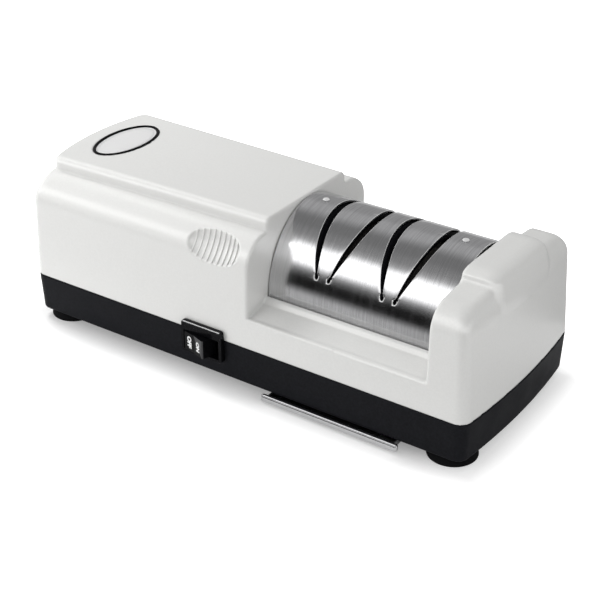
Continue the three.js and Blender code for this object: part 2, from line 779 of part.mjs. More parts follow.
const base = () => {
  let shell = baseShell();
  const floorBand = (x) => block(
    [x - ribThickness / 2, -halfWidth + ribInset, floorTop - strayEdge],
    [x + ribThickness / 2, halfWidth - ribInset, floorTop + ribHeight]);
  const windowLeft = trayCentre - windowLength / 2;
  const windowRight = trayCentre + windowLength / 2;
  shell = join(shell, floorBand(windowLeft - ribInset / 2), floorBand(windowRight + ribInset / 2));
  for (const [x, y] of footCorners) {
    shell = shell.add(barZ(footBossRadius, floorTop - strayEdge, footBossHeight, x, y, smallSteps));
  }
  for (const [x, y] of caseCorners) {
    shell = shell.add(barZ(caseBossRadius, floorTop - strayEdge, caseBossTop, x, y, smallSteps));
  }
  for (const [x, y] of mountPlaces()) {
    shell = shell.add(barZ(mountPostRadius, floorTop - strayEdge, postTop, x, y, smallSteps));
  }
  for (const side of [-1, 1]) {
    shell = shell.add(barZ(
      mountPostRadius, floorTop - strayEdge, postTop, pedestalCentre, (side * pedestalScrewSpacing) / 2,
      smallSteps));
    shell = shell.add(runner(side));
  }
  const tools = [
    block(
      [windowLeft, -windowWidth / 2, footHeight - overrun],
      [windowRight, windowWidth / 2, floorTop + overrun]),
    block(
      [openingCentre - switchBodyLength / 2 - fitGap, -halfWidth - overrun,
        openingMiddle - switchBodyHeight / 2 - fitGap],
      [openingCentre + switchBodyLength / 2 + fitGap, -halfWidth + wall + tongueThickness + 2 * overrun,
        partingHeight + tongueHeight + overrun]),
    barY(glandRadius + fitGap, halfWidth - wall - 2 * overrun, halfWidth + overrun, glandX, glandHeight),
  ];
  for (let index = 0; index < ventCount; index += 1) {
    const x = motorCentre + (index - (ventCount - 1) / 2) * ventPitch;
    tools.push(alongZ(
      roundedBox(ventWidth / 2, ventLength / 2, ventWidth / 2 - fitGap / 2, x, 0, slotEndSteps),
      footHeight - overrun, floorTop + overrun));
  }
  for (const [x, y] of footCorners) {
    tools.push(barZ(screwRadius + fitGap, footHeight - overrun, footBossHeight - wall, x, y, smallSteps));
  }
  for (const [x, y] of caseCorners) {
    tools.push(barZ(screwRadius + fitGap, footHeight, caseBossTop + overrun, x, y, smallSteps));
    tools.push(barZ(
      screwHeadRadius + fitGap, footHeight - overrun, footHeight + casePocketDepth, x, y, smallSteps));
  }
  for (const [x, y] of [...mountPlaces(), ...pedestalPlaces()]) {
    tools.push(barZ(screwRadius + fitGap, floorTop, postTop + overrun, x, y, smallSteps));
  }
  return cut(shell, ...tools);
};

const pedestalPlaces = () => [
  [pedestalCentre, -pedestalScrewSpacing / 2],
  [pedestalCentre, pedestalScrewSpacing / 2],
];

// Moulded rail that hooks under one flange of the tray
const trayHalf = trayWidth / 2;
const runnerLeg = trayHalf + trayFlange + runnerGap;
const runner = (side) => {
  const hookTop = trayRim - traySheet - runnerGap;
  const hookFoot = hookTop - traySheet - runnerGap;
  const x = (distance) => trayCentre + side * distance;
  const outline = [
    [x(runnerLeg), footHeight + strayEdge],
    [x(runnerLeg), hookTop],
    [x(trayHalf + runnerGap), hookTop],
    [x(trayHalf + runnerGap), hookFoot],
    [x(runnerLeg + runnerThickness), hookFoot],
    [x(runnerLeg + runnerThickness), footHeight + strayEdge],
  ];
  const ordered = side > 0 ? outline : outline.reverse();
  return alongY(ordered, -windowWidth / 2 - ribInset, trayBack);
};

// Dust tray: a folded sheet pan with side flanges and a rounded front lip to pull
const dustTray = () => {
  const front = -lipFront + lipThickness;
  const left = trayCentre - trayHalf;
  const right = trayCentre + trayHalf;
  const pan = cut(
    block([left, front - strayEdge, trayFloor], [right, trayBack, trayRim]),
    block([left + traySheet, front + traySheet, trayFloor + traySheet],
      [right - traySheet, trayBack - traySheet, trayRim + overrun]));
  const flangeFront = -windowWidth / 2 - ribInset;
  const flange = (from, to) => block(
    [from, flangeFront, trayRim - traySheet],
    [to, trayBack - traySheet, trayRim]);
  const lipRound = lipThickness / 2 - fitGap / 2;
  const lip = alongZ(
    roundedBox(lipLength / 2, lipThickness / 2, lipRound, trayCentre, -lipFront + lipThickness / 2),
    lipFoot, lipFoot + lipHeight);
  return join(pan, lip,
    flange(left - trayFlange, left + traySheet / 2),
    flange(right - traySheet / 2, right + trayFlange));
};

// Arch of the hood in Y and Z: straight legs and an elliptical crown, moved inward by an inset
const archOutline = (inset, foot) => {
  const points = [[hoodHalfWidth - inset, foot]];
  for (let step = 0; step <= archSteps; step += 1) {
    const angle = (2 * quarter * step) / archSteps;
    points.push([
      (hoodHalfWidth - inset) * Math.cos(angle),
      hoodFoot + (hoodRise - inset) * Math.sin(angle)]);
  }
  points.push([-(hoodHalfWidth - inset), foot]);
  return points;
};

// Wedge cut along Y for one knife slot, leaning away from the wheel, with a round eye at its foot
const slotTool = (stage, lean, margin) => {
  const reach = halfWidth;
  const slope = Math.tan(THREE.MathUtils.degToRad(slotTilts[lean]));
  const middle = (height) => stage + lean * (slotHalfGap + (height - slotFloor) * slope);
  const levels = [
    [slotFloor, slotFootWidth / 2 + margin],
    [slotKneeHeight, slotKneeWidth / 2 + margin],
    [hoodFoot + hoodRise + overrun, slotMouthWidth / 2 + margin],
  ];
  const right = levels.map(([height, half]) => [middle(height) + half, height]);
  const left = levels.map(([height, half]) => [middle(height) - half, height]).reverse();
  const eye = barY(slotEyeRadius + margin, -reach, reach, middle(slotFloor), slotFloor, smallSteps);
  return alongY([...right, ...left], -reach, reach).add(eye);
};

const slotTools = (margin) => {
  const tools = [];
  for (const stage of Object.values(stages)) {
    tools.push(slotTool(stage, -1, margin), slotTool(stage, 1, margin));
  }
  return tools;
};

const rivetPlaces = () => [bayLeft + rivetInset, bayRight - rivetInset];

const arch = (inset, thickness, from, to) => {
  const foot = shelfHeight + fitGap;
  const outer = alongX(archOutline(inset, foot), from, to);
  const inner = alongX(archOutline(inset + thickness, foot - overrun), from - overrun, to + overrun);
  return cut(outer, inner);
};

const rivetHole = (x) => barZ(
  rivetRadius + fitGap / 2, axisHeight, crownHeight + overrun, x, 0, smallSteps);

const steelCover = () => cut(
  arch(0, hoodSheet, hoodLeft, hoodRight), ...slotTools(0), ...rivetPlaces().map(rivetHole));

const guideInset = hoodSheet + fitGap;

const bladeGuide = () => {
  const from = hoodLeft + fitGap;
  const to = hoodRight - fitGap;
  return cut(
    arch(guideInset, guideThickness, from, to), ...slotTools(guideSlotMargin),
    ...rivetPlaces().map(rivetHole));
};

// Domed rivet through the hood and the guide
const coverRivet = (x) => {
  const crest = hoodFoot + hoodRise;
  const tail = crest - guideInset - guideThickness - strayEdge;
  const headRadius = rivetRadius + strayEdge;
  const profile = [
    [0, tail], [rivetRadius - fitGap / 2, tail], [rivetRadius - fitGap / 2, crest + fitGap],
    [headRadius, crest + fitGap],
    [headRadius * domeShoulderShare, crest + fitGap + rivetDome * domeRiseShare],
    [0, crest + fitGap + rivetDome],
  ];
  const points = profile.map(([radius, height]) => new THREE.Vector2(radius, height));
  const lathe = new THREE.LatheGeometry(points, smallSteps).rotateX(Math.PI / 2);
  return toSolid(lathe.translate(x, 0, 0));
};

// Grinding stage: an abrasive ring seated on the rim of a flanged hub
const grindingWheel = (x) => {
  const half = wheelThickness / 2;
  const inner = wheelRadius - wheelRingDepth;
  return turned([
    [inner, x - half], [wheelRadius - wheelChamfer, x - half], [wheelRadius, x - half + wheelChamfer],
    [wheelRadius, x + half - wheelChamfer], [wheelRadius - wheelChamfer, x + half], [inner, x + half]]);
};

const wheelHub = (x) => {
  const half = hubLength / 2;
  const web = hubWeb / 2;
  const rim = wheelThickness / 2;
  const bore = shaftRadius + runningGap;
  const edge = wheelRadius - wheelRingDepth - fitGap;
  const rimDepth = edge - wall;
  return turned([
    [bore, x - half], [hubRadius, x - half], [hubRadius, x - web], [rimDepth, x - web], [rimDepth, x - rim],
    [edge, x - rim], [edge, x + rim], [rimDepth, x + rim], [rimDepth, x + web], [hubRadius, x + web],
    [hubRadius, x + half], [bore, x + half]], roundSteps);
};

const sleeve = (radius, from, to, steps = roundSteps) => cut(
  barX(radius, from, to, 0, axisHeight, steps),
  barX(shaftRadius + runningGap, from - overrun, to + overrun, 0, axisHeight));

// Shaft with a shoulder against which the wheels are clamped
const shaftRight = pedestalCentre + bushLength / 2 + shaftOverhang;
const collarEnd = coarseStage - hubLength / 2 - fitGap;
const spacerLeft = coarseStage + hubLength / 2 + fitGap;
const spacerRight = fineStage - hubLength / 2 - fitGap;
const washerLeft = fineStage + hubLength / 2 + fitGap;
const nutLeft = washerLeft + washerThickness + fitGap;

const motorShaft = () => join(
  barX(shaftRadius, shaftLeft, shaftRight, 0, axisHeight),
  barX(collarRadius, collarEnd - collarLength, collarEnd, 0, axisHeight));

const lockNut = () => cut(
  hexX(nutAcrossFlats, nutLeft, nutLeft + nutThickness, 0, axisHeight),
  barX(shaftRadius + runningGap, nutLeft - overrun, nutLeft + nutThickness + overrun, 0, axisHeight));

// Cooling fan: hub with swept blades between two rings
const coolingFan = () => {
  const left = fanCentre - fanLength / 2;
  const right = fanCentre + fanLength / 2;
  const back = turned([
    [fanHubRadius - strayEdge, left], [fanRadius, left],
    [fanRadius, left + fanBladeThickness], [fanHubRadius - strayEdge, left + fanBladeThickness]], roundSteps);
  let fan = sleeve(fanHubRadius, left, right).add(back);
  for (let index = 0; index < fanBlades; index += 1) {
    const angle = (4 * quarter * index) / fanBlades;
    const start = new THREE.Vector2(fanHubRadius - strayEdge, 0);
    const end = new THREE.Vector2(fanRadius, 0).rotateAround(
      new THREE.Vector2(0, 0), THREE.MathUtils.degToRad(fanBladeSweep));
    const middle = new THREE.Vector2((fanHubRadius + fanRadius) / 2, 0);
    const curve = new THREE.QuadraticBezierCurve(start, middle, end);
    const upper = [];
    const lower = [];
    for (const share of fanBladeShares) {
      const point = curve.getPoint(share);
      const tangent = curve.getTangent(share);
      const normal = new THREE.Vector2(-tangent.y, tangent.x).multiplyScalar(fanBladeThickness / 2);
      upper.push(point.clone().add(normal));
      lower.push(point.clone().sub(normal));
    }
    const outline = [...lower, ...upper.reverse()].map((point) => {
      const turnedPoint = point.rotateAround(new THREE.Vector2(0, 0), angle);
      return [turnedPoint.x, axisHeight + turnedPoint.y];
    });
    fan = fan.add(alongX(outline, left + fanBladeThickness / 2, right));
  }
  return fan;
};

// Squirrel-cage rotor core with shallow slots
const rotorCore = () => {
  const left = stackLeft - rotorOverhang;
  const right = stackRight + rotorOverhang;
  let core = sleeve(rotorRadius, left, right, wheelSteps);
  for (let index = 0; index < rotorSlots; index += 1) {
    const slot = new THREE.BoxGeometry(
      stackLength + 2 * rotorOverhang + overrun, rotorSlotWidth, rotorSlotDepth);
    slot.translate(0, 0, rotorRadius - rotorSlotDepth / 2 + fitGap);
    slot.rotateX((4 * quarter * index) / rotorSlots).translate(motorCentre, 0, axisHeight);
    core = cut(core, toSolid(slot));
  }
  return core;
};

const boltPlaces = () => {
  const places = [];
  for (const y of [-1, 1]) {
    for (const z of [-1, 1]) {
      places.push([y * (stackWidth / 2 - boltInset), axisHeight + z * (stackHeight / 2 - boltInset)]);
    }
  }
  return places;
};

// One long box on the radius of each stator slot
const radialBars = (width, inner, outer, from, to) => {
  const bars = [];
  for (let index = 0; index < statorSlots; index += 1) {
    const bar = new THREE.BoxGeometry(to - from, width, outer - inner);
    bar.translate((from + to) / 2, 0, (inner + outer) / 2);
    bar.rotateX((4 * quarter * (index + 1 / 2)) / statorSlots).translate(0, 0, axisHeight);
    bars.push(toSolid(bar));
  }
  return bars;
};

// Laminated stator with eight winding slots open to the bore
const motorStator = () => {
  const stack = alongX(
    roundedBox(stackWidth / 2, stackHeight / 2, stackCorner, 0, axisHeight), stackLeft, stackRight);
  const bore = barX(statorBore, stackLeft - overrun, stackRight + overrun, 0, axisHeight, wheelSteps);
  const slots = radialBars(
    statorSlotWidth, statorBore - strayEdge, statorBore + statorSlotDepth,
    stackLeft - overrun, stackRight + overrun);
  const holes = boltPlaces().map(([y, z]) => barX(
    boltRadius + fitGap, stackLeft - overrun, stackRight + overrun, y, z, smallSteps));
  return cut(stack, bore, ...slots, ...holes);
};

// Winding: slot sides joined by a ring of end turns at each end of the stator
const statorWinding = () => {
  const outer = statorBore + statorSlotDepth - fitGap;
  const ring = (from, to) => turned([[windingInner, from], [outer, from], [outer, to], [windingInner, to]]);
  const sidesInSlots = radialBars(
    statorSlotWidth - 2 * fitGap, windingInner + fitGap, outer - fitGap,
    stackLeft - fitGap - strayEdge, stackRight + fitGap + strayEdge);
  return join(
    ring(stackLeft - windingReach, stackLeft - fitGap),
    ring(stackRight + fitGap, stackRight + windingReach),
    ...sidesInSlots);
};

// Motor end bracket: windowed plate with standoffs, a bearing hub and a foot
const motorBracket = (end) => {
  const face = end < 0 ? stackLeft : stackRight;
  const inside = face + end * standoffLength;
  const outside = inside + end * bracketPlate;
  const from = Math.min(inside, outside);
  const to = Math.max(inside, outside);
  const plate = alongX(
    roundedBox(stackWidth / 2, stackHeight / 2, stackCorner, 0, axisHeight), from, to);
  const standoffs = boltPlaces().map(([y, z]) => barX(
    standoffRadius, Math.min(face + end * fitGap, outside), Math.max(face + end * fitGap, outside), y, z,
    smallSteps));
  const hubHalf = bushLength / 2 + strayEdge;
  const centre = (from + to) / 2;
  const hub = barX(bracketHubRadius, centre - hubHalf, centre + hubHalf, 0, axisHeight);
  const web = block(
    [from, -bracketWebWidth / 2, bracketFootHeight],
    [to, bracketWebWidth / 2, axisHeight - stackHeight / 2 + boltInset]);
  const foot = block(
    [centre - bracketFootLength / 2, -bracketFootWidth / 2, bracketFootHeight],
    [centre + bracketFootLength / 2, bracketFootWidth / 2, bracketFootHeight + bracketFootPlate]);
  const windowHalf = (stackWidth / 2 - bracketHubRadius - 2 * boltInset) / 2;
  const windowMiddle = bracketHubRadius + boltInset / 2 + windowHalf;
  const windows = [-1, 1].map((side) => alongX(
    roundedBox(windowHalf, stackHeight / 2 - 2 * boltInset, bracketPlate, side * windowMiddle, axisHeight),
    from - overrun, to + overrun));
  const seat = barX(
    bushRadius + fitGap, centre - hubHalf - overrun, centre + hubHalf + overrun, 0, axisHeight);
  const boltHoles = boltPlaces().map(([y, z]) => barX(
    boltRadius + fitGap, Math.min(face, outside) - overrun, Math.max(face, outside) + overrun, y, z,
    smallSteps));
  const footHoles = [-1, 1].map((side) => barZ(
    screwRadius + fitGap, bracketFootHeight - overrun, bracketFootHeight + bracketFootPlate + overrun,
    centre, (side * mountSpacing) / 2, smallSteps));
  return cut(join(plate, ...standoffs, hub, web, foot), ...windows, seat, ...boltHoles, ...footHoles);
};

// Rubber pad between a bracket foot and its posts
const motorPad = (end) => {
  const centre = bracketCentre(end);
  const top = bracketFootHeight - fitGap;
  const pad = block(
    [centre - bracketFootLength / 2, -bracketFootWidth / 2, top - padThickness],
    [centre + bracketFootLength / 2, bracketFootWidth / 2, top]);
  const holes = [-1, 1].map((side) => barZ(
    screwRadius + fitGap, top - padThickness - overrun, top + overrun, centre, (side * mountSpacing) / 2,
    smallSteps));
  return cut(pad, ...holes);
};

const bush = (x) => sleeve(bushRadius, x - bushLength / 2, x + bushLength / 2);

// Long bolt through both brackets and the stator
const motorBolt = (y, z) => {
  const left = bracketCentre(-1) - bracketPlate / 2 - fitGap;
  const right = bracketCentre(1) + bracketPlate / 2 + fitGap;
  return join(
    barX(boltRadius, left - boltHeadDepth / 2, right + boltHeadDepth / 2, y, z, smallSteps),
    barX(boltHeadRadius, left - boltHeadDepth, left, y, z, smallSteps),
    barX(boltHeadRadius, right, right + boltHeadDepth, y, z, hexSides));
};

// Screw with its head up or down at the given height
const screw = (x, y, headSeat, length, facing) => {
  const tip = headSeat - facing * length;
  const head = headSeat + facing * screwHeadDepth;
  return join(
    barZ(screwRadius, Math.min(tip, headSeat + facing * strayEdge),
      Math.max(tip, headSeat + facing * strayEdge), x, y, smallSteps),
    barZ(screwHeadRadius - fitGap, Math.min(headSeat, head), Math.max(headSeat, head), x, y, smallSteps));
};

// Pedestal that holds the far end of the shaft inside the pillar
const outboardPedestal = () => {
  const left = pedestalCentre - pedestalPlate / 2;
  const right = pedestalCentre + pedestalPlate / 2;
  const footBottom = bracketFootHeight - padThickness - fitGap;
  const baseHalf = pedestalBaseWidth / 2;
  const shoulder = Math.asin((baseHalf - pedestalHeadRadius) / (axisHeight - footBottom) / 2);
  const plate = alongX([
    [-baseHalf / 2, footBottom], [baseHalf / 2, footBottom],
    ...arc(0, axisHeight, pedestalHeadRadius, -shoulder, 2 * quarter + shoulder, roundSteps / 2),
  ], left, right);
  const foot = block(
    [pedestalCentre - pedestalFootLength / 2, -baseHalf, footBottom],
    [pedestalCentre + pedestalFootLength / 2, baseHalf, footBottom + pedestalFootPlate]);
  const rib = alongY([
    [pedestalCentre - pedestalFootLength / 2, footBottom + pedestalFootPlate / 2],
    [pedestalCentre + pedestalFootLength / 2, footBottom + pedestalFootPlate / 2],
    [right, (footBottom + axisHeight) / 2], [left, (footBottom + axisHeight) / 2],
  ], -ribThickness / 2, ribThickness / 2);
  const hub = barX(
    pedestalHeadRadius - ribThickness / 2, pedestalCentre - bushLength / 2, pedestalCentre + bushLength / 2,
    0, axisHeight);
  const seat = barX(bushRadius + fitGap, left - bushLength, right + bushLength, 0, axisHeight);
  const holes = pedestalPlaces().map(([x, y]) => barZ(
    screwRadius + fitGap, footBottom - overrun, footBottom + pedestalFootPlate + overrun, x, y, smallSteps));
  return cut(join(plate, foot, rib, hub), seat, ...holes);
};

// Rocker switch: moulded body with a raised, bevelled bezel, open in front for the rocker
const bezelFront = -halfWidth - bezelProud;
const bezelBack = -halfWidth - fitGap;
const pivotY = bezelFront + rockerPivotDepth;

const switchHousing = () => {
  const low = bezelMiddle - bezelHeight / 2;
  const high = bezelMiddle + bezelHeight / 2;
  const section = [
    [bezelFront, low], [bezelBack, low], [bezelBack, high],
    [bezelFront + bezelBevelDepth, high], [bezelFront, high - bezelBevel]];
  const plan = roundedBox(bezelLength / 2, bezelHeight / 2, bezelRound, bezelCentre, bezelMiddle);
  const bezel = alongX(section, bezelCentre - bezelLength, bezelCentre + bezelLength)
    .intersect(alongY(plan, bezelFront - overrun, bezelBack + overrun));
  const body = block(
    [openingCentre - switchBodyLength / 2, bezelBack - strayEdge, openingMiddle - switchBodyHeight / 2],
    [openingCentre + switchBodyLength / 2, bezelBack + switchBodyDepth, openingMiddle + switchBodyHeight / 2]);
  const mouthHeight = rockerHeight / 2 + runningGap;
  const heelReach = Math.hypot(rockerHeel, rockerHeelHalf) + strayEdge;
  const cavity = block(
    [openingCentre - openingLength / 2, bezelFront - overrun, openingMiddle - mouthHeight],
    [openingCentre + openingLength / 2, pivotY + heelReach, openingMiddle + mouthHeight]);
  const pinSeat = barZ(
    rockerPinRadius + runningGap, openingMiddle - mouthHeight - rockerPinLength,
    openingMiddle + mouthHeight + rockerPinLength, openingCentre, pivotY, smallSteps);
  return cut(bezel.add(body), cavity, pinSeat);
};

// Rocker on its pin, with a shallow dished face, resting with its OFF half pressed in
const switchRocker = () => {
  const outline = [
    [-rockerHeelHalf, rockerHeel],
    [-rockerHalf, -rockerWaist],
    [-rockerHalf, rockerEdge - rockerReach],
    [rockerEdge - rockerHalf, -rockerReach],
    [0, rockerDish - rockerReach],
    [rockerHalf - rockerEdge, -rockerReach],
    [rockerHalf, rockerEdge - rockerReach],
    [rockerHalf, -rockerWaist],
    [rockerHeelHalf, rockerHeel],
  ];
  const body = alongZ(outline, -rockerHeight / 2, rockerHeight / 2);
  const pinReach = rockerHeight / 2 + rockerPinLength;
  const pin = barZ(rockerPinRadius, -pinReach, pinReach, 0, 0, smallSteps);
  return body.add(pin).rotate([0, 0, -rockerTilt]).translate([openingCentre, pivotY, openingMiddle]);
};

// Spade terminal at the back of the switch
const switchTerminal = (side) => {
  const back = bezelBack + switchBodyDepth + fitGap;
  const x = openingCentre + (side * terminalSpacing) / 2;
  return block(
    [x - terminalThickness / 2, back, openingMiddle - terminalWidth / 2],
    [x + terminalThickness / 2, back + terminalLength, openingMiddle + terminalWidth / 2]);
};

// Rubber foot with a flared rim and a pocket for its screw
const rubberFoot = (x, y) => {
  const top = footHeight - fitGap;
  const profile = [
    [0, 0], [footRadius, 0], [footRadius, footHeight * footRimShare], [footWaist, top], [0, top],
  ].map(([radius, height]) => new THREE.Vector2(radius, height));
  const pad = toSolid(new THREE.LatheGeometry(profile, roundSteps).rotateX(Math.PI / 2).translate(x, y, 0));
  const pocket = barZ(footPocketRadius, -overrun, footPocketDepth, x, y, smallSteps);
  const hole = barZ(screwRadius + fitGap, 0, footHeight + overrun, x, y, smallSteps);
  return cut(pad, pocket, hole);
};

// Gland in the rear wall of the base, where a power cord would enter
const cordGland = () => {
  const outside = halfWidth + fitGap;
  const tip = halfWidth + glandProud;
  const inside = halfWidth - wall - baseTaper - glandInner;
  const body = barY(glandRadius, inside, outside, glandX, glandHeight);
  const flange = barY(glandFlangeRadius, outside, outside + glandFlange, glandX, glandHeight);
  const neck = barY(glandNeckRadius, outside, tip, glandX, glandHeight);
  const bore = barY(glandBore, inside - overrun, tip + overrun, glandX, glandHeight, smallSteps);
  return cut(join(body, flange, neck), bore);
};

// Run capacitor and terminal block on the floor of the base
const runCapacitor = () => {
  const outline = roundedBox(
    capacitorLength / 2, capacitorWidth / 2, fitGap + strayEdge, capacitorX, capacitorY, slotEndSteps);
  return alongZ(outline, floorTop + fitGap, floorTop + fitGap + capacitorHeight);
};

const terminalBlock = () => {
  const x = terminalBlockX;
  const y = terminalBlockY;
  const low = floorTop + fitGap;
  const body = block(
    [x - terminalBlockWidth / 2, y - terminalBlockLength / 2, low],
    [x + terminalBlockWidth / 2, y + terminalBlockLength / 2, low + terminalBlockHeight]);
  const holes = [];
  for (let index = 0; index < terminalBlockWays; index += 1) {
    const way = y + ((index - (terminalBlockWays - 1) / 2) * terminalBlockLength) / terminalBlockWays;
    const height = low + terminalBlockHeight / 2;
    const reach = terminalBlockWidth / 2 + overrun;
    holes.push(barX(terminalBlockBore, x - reach, x + reach, way, height, smallSteps));
  }
  return cut(body, ...holes);
};

// Badge plate and its ring in the seat on the crown
const badgeFloor = () => crownHeight - badgeRecess + fitGap;
const badgePlate = () => alongZ(badgeOutline(0), badgeFloor(), badgeFloor() + badgeThickness - fitGap);
const badgeFrame = () => alongZ(
  badgeOutline(-badgeRing), badgeFloor(), badgeFloor() + badgeThickness, [badgeOutline(-fitGap)]);

// Fixed pieces of the casing
addPart('upper_housing', upperHousing(), 'whitePlastic');
addPart('base', base(), 'blackPlastic');
addPart('steel_cover', steelCover(), 'brushedSteel');
addPart('blade_guide', bladeGuide(), 'blackPlastic');
addPart('cover_rivet_left', coverRivet(rivetPlaces()[0]), 'brightSteel');
addPart('cover_rivet_right', coverRivet(rivetPlaces()[1]), 'brightSteel');
addPart('badge_plate', badgePlate(), 'badgeSilver');
addPart('badge_ring', badgeFrame(), 'glossBlack');
addPart('cord_gland', cordGland(), 'rubber');

// Feet and the screws of the casing
footCorners.forEach(([x, y], index) => {
  addPart(`foot_${index + 1}`, rubberFoot(x, y), 'rubber');
  const seat = footPocketDepth - fitGap;
  addPart(`foot_screw_${index + 1}`, screw(x, y, seat, footScrewLength, -1), 'brightSteel');
});
caseCorners.forEach(([x, y], index) => {
  const seat = footHeight + casePocketDepth - fitGap;
  addPart(`case_screw_${index + 1}`, screw(x, y, seat, caseScrewLength, -1), 'brightSteel');
});

// Switch
addPart('switch_housing', switchHousing(), 'glossBlack');
addPart('switch_rocker', switchRocker(), 'glossBlack');
addPart('switch_terminal_1', switchTerminal(-1), 'bronze');
addPart('switch_terminal_2', switchTerminal(1), 'bronze');

// Dust tray
addPart('dust_tray', dustTray(), 'brightSteel');

// Motor
addPart('motor_stator', motorStator(), 'laminations');
addPart('stator_winding', statorWinding(), 'copper');
addPart('motor_bracket_left', motorBracket(-1), 'castAluminium');
addPart('motor_bracket_right', motorBracket(1), 'castAluminium');
addPart('motor_pad_left', motorPad(-1), 'rubber');
addPart('motor_pad_right', motorPad(1), 'rubber');
addPart('motor_bush_left', bush(bracketCentre(-1)), 'bronze');
addPart('motor_bush_right', bush(bracketCentre(1)), 'bronze');
boltPlaces().forEach(([y, z], index) => addPart(`motor_bolt_${index + 1}`, motorBolt(y, z), 'brightSteel'));
mountPlaces().forEach(([x, y], index) => {
  const seat = bracketFootHeight + bracketFootPlate + fitGap;
  const length = seat - floorTop - fitGap;
  addPart(`motor_screw_${index + 1}`, screw(x, y, seat, length, 1), 'brightSteel');
});
addPart('run_capacitor', runCapacitor(), 'filmBox');
addPart('terminal_block', terminalBlock(), 'filmBox');

// Outboard bearing
addPart('outboard_pedestal', outboardPedestal(), 'castAluminium');
addPart('outboard_bush', bush(pedestalCentre), 'bronze');
pedestalPlaces().forEach(([x, y], index) => {
  const seat = bracketFootHeight - padThickness - fitGap + pedestalFootPlate + fitGap;
  addPart(`pedestal_screw_${index + 1}`, screw(x, y, seat, seat - floorTop - fitGap, 1), 'brightSteel');
});

// Turning pieces
addPart('motor_shaft', motorShaft(), 'brightSteel');
addPart('rotor_core', rotorCore(), 'laminations');
addPart('cooling_fan', coolingFan(), 'fanPlastic');
addPart('coarse_wheel', grindingWheel(coarseStage), 'coarseGrit');
addPart('coarse_hub', wheelHub(coarseStage), 'castAluminium');
addPart('fine_wheel', grindingWheel(fineStage), 'fineGrit');
addPart('fine_hub', wheelHub(fineStage), 'castAluminium');
addPart('wheel_spacer', sleeve(spacerRadius, spacerLeft, spacerRight), 'castAluminium');
addPart('lock_washer', sleeve(washerRadius, washerLeft, washerLeft + washerThickness), 'brightSteel');
addPart('lock_nut', lockNut(), 'brightSteel');

export default model;
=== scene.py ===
import math

import bpy
import numpy as np
from mathutils import Matrix, Vector


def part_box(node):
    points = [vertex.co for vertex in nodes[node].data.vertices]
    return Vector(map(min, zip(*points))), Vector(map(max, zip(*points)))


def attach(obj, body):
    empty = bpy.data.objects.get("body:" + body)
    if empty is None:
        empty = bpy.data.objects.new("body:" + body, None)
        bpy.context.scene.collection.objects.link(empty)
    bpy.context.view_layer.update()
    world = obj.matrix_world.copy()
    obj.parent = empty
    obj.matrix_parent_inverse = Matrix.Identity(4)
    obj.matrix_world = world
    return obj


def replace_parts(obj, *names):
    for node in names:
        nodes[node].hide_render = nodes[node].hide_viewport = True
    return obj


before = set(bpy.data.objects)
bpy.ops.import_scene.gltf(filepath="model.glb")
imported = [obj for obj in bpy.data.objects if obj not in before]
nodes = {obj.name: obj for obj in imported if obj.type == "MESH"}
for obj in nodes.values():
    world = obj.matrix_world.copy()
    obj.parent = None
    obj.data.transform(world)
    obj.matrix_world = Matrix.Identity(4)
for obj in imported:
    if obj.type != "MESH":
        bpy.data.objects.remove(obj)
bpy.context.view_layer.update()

# Electric knife sharpener: the looks around its CAD frame.
# Sizes are millimetres unless a name says otherwise; the scene itself is in metres.
MM = 0.001
scene = bpy.context.scene


# Camera fitted to straight edges of the photograph: its axes, its place in metres and its lens
CAMERA_RIGHT = (0.8243, 0.5661, 0.0)
CAMERA_UP = (-0.2773, 0.4037, 0.8717)
CAMERA_BACK = (0.4935, -0.7186, 0.4898)
CAMERA_EYE = (0.37055, -0.53299, 0.39075)
CAMERA_LENS = 85.19
CAMERA_SENSOR = 36


def photo_camera():
    """Camera at the photograph's viewing angle."""
    data = bpy.data.cameras.new("photo_camera")
    data.lens = CAMERA_LENS
    data.sensor_width = CAMERA_SENSOR
    data.clip_start = 0.01
    data.clip_end = 20
    camera = bpy.data.objects.new("photo_camera", data)
    scene.collection.objects.link(camera)
    turn = Matrix((CAMERA_RIGHT, CAMERA_UP, CAMERA_BACK)).transposed().to_4x4()
    camera.matrix_world = Matrix.Translation(CAMERA_EYE) @ turn
    scene.camera = camera


photo_camera()

# Both shells, as in the CAD source
HALF_LENGTH = 135.0
HALF_WIDTH = 54.4
CORNER = 5.0
WALL = 2.5
PARTING = 26.3
BOW = 3.5
BOW_RADIUS = (HALF_WIDTH**2 + BOW**2) / (2 * BOW)

# Upper housing, as in the CAD source
HOUSING_FOOT = 26.6
CROWN_TOP = 90.4
GAP = 0.3
SIDE_DRAFT = 1.0
MOTOR_DRAFT = 1.1
PILLAR_DRAFT = 2.6
SHOULDER_START = 69.0
SHOULDER_INSET = 13.0
SHOULDER_RISE = 13.0
SHOULDER_END = 7.5
PILLAR_SLOPE = 1.5
SLOPE_RUN = 14.9
SLOPE_BLEND = 3.0
PILLAR_HALF = 25.5
MOTOR_HALF = 32.0
BAY_LEFT = 9.9
BAY_RIGHT = 110.2
BAY_MIDDLE = (BAY_LEFT + BAY_RIGHT) / 2
REAR_SPREAD = 5.6
AXIS = 52.0

# Upper housing, as measured in the photograph for this scene
MOTOR_LIFT = 1.7
LIFT_REACH = (-8.0, 2.0)
CROWN_BOW_RADIUS = 130.0
FRONT_SPREAD = 4.0
FRONT_SWELL = 3.7
PILLAR_EDGE, PILLAR_DROP, PILLAR_CORNER, PILLAR_CREASE = 9.0, 4.8, 4.5, 2.6
MOTOR_EDGE, MOTOR_CORNER, MOTOR_CREASE = 3.5, 5.0, 0.9
END_SINK, SINK_FROM, SINK_TO = 2.6, 78, 66
BAY_CORNER = 0.7
BAY_EDGE_PILLAR, BAY_EDGE_MOTOR = 2.0, 1.2


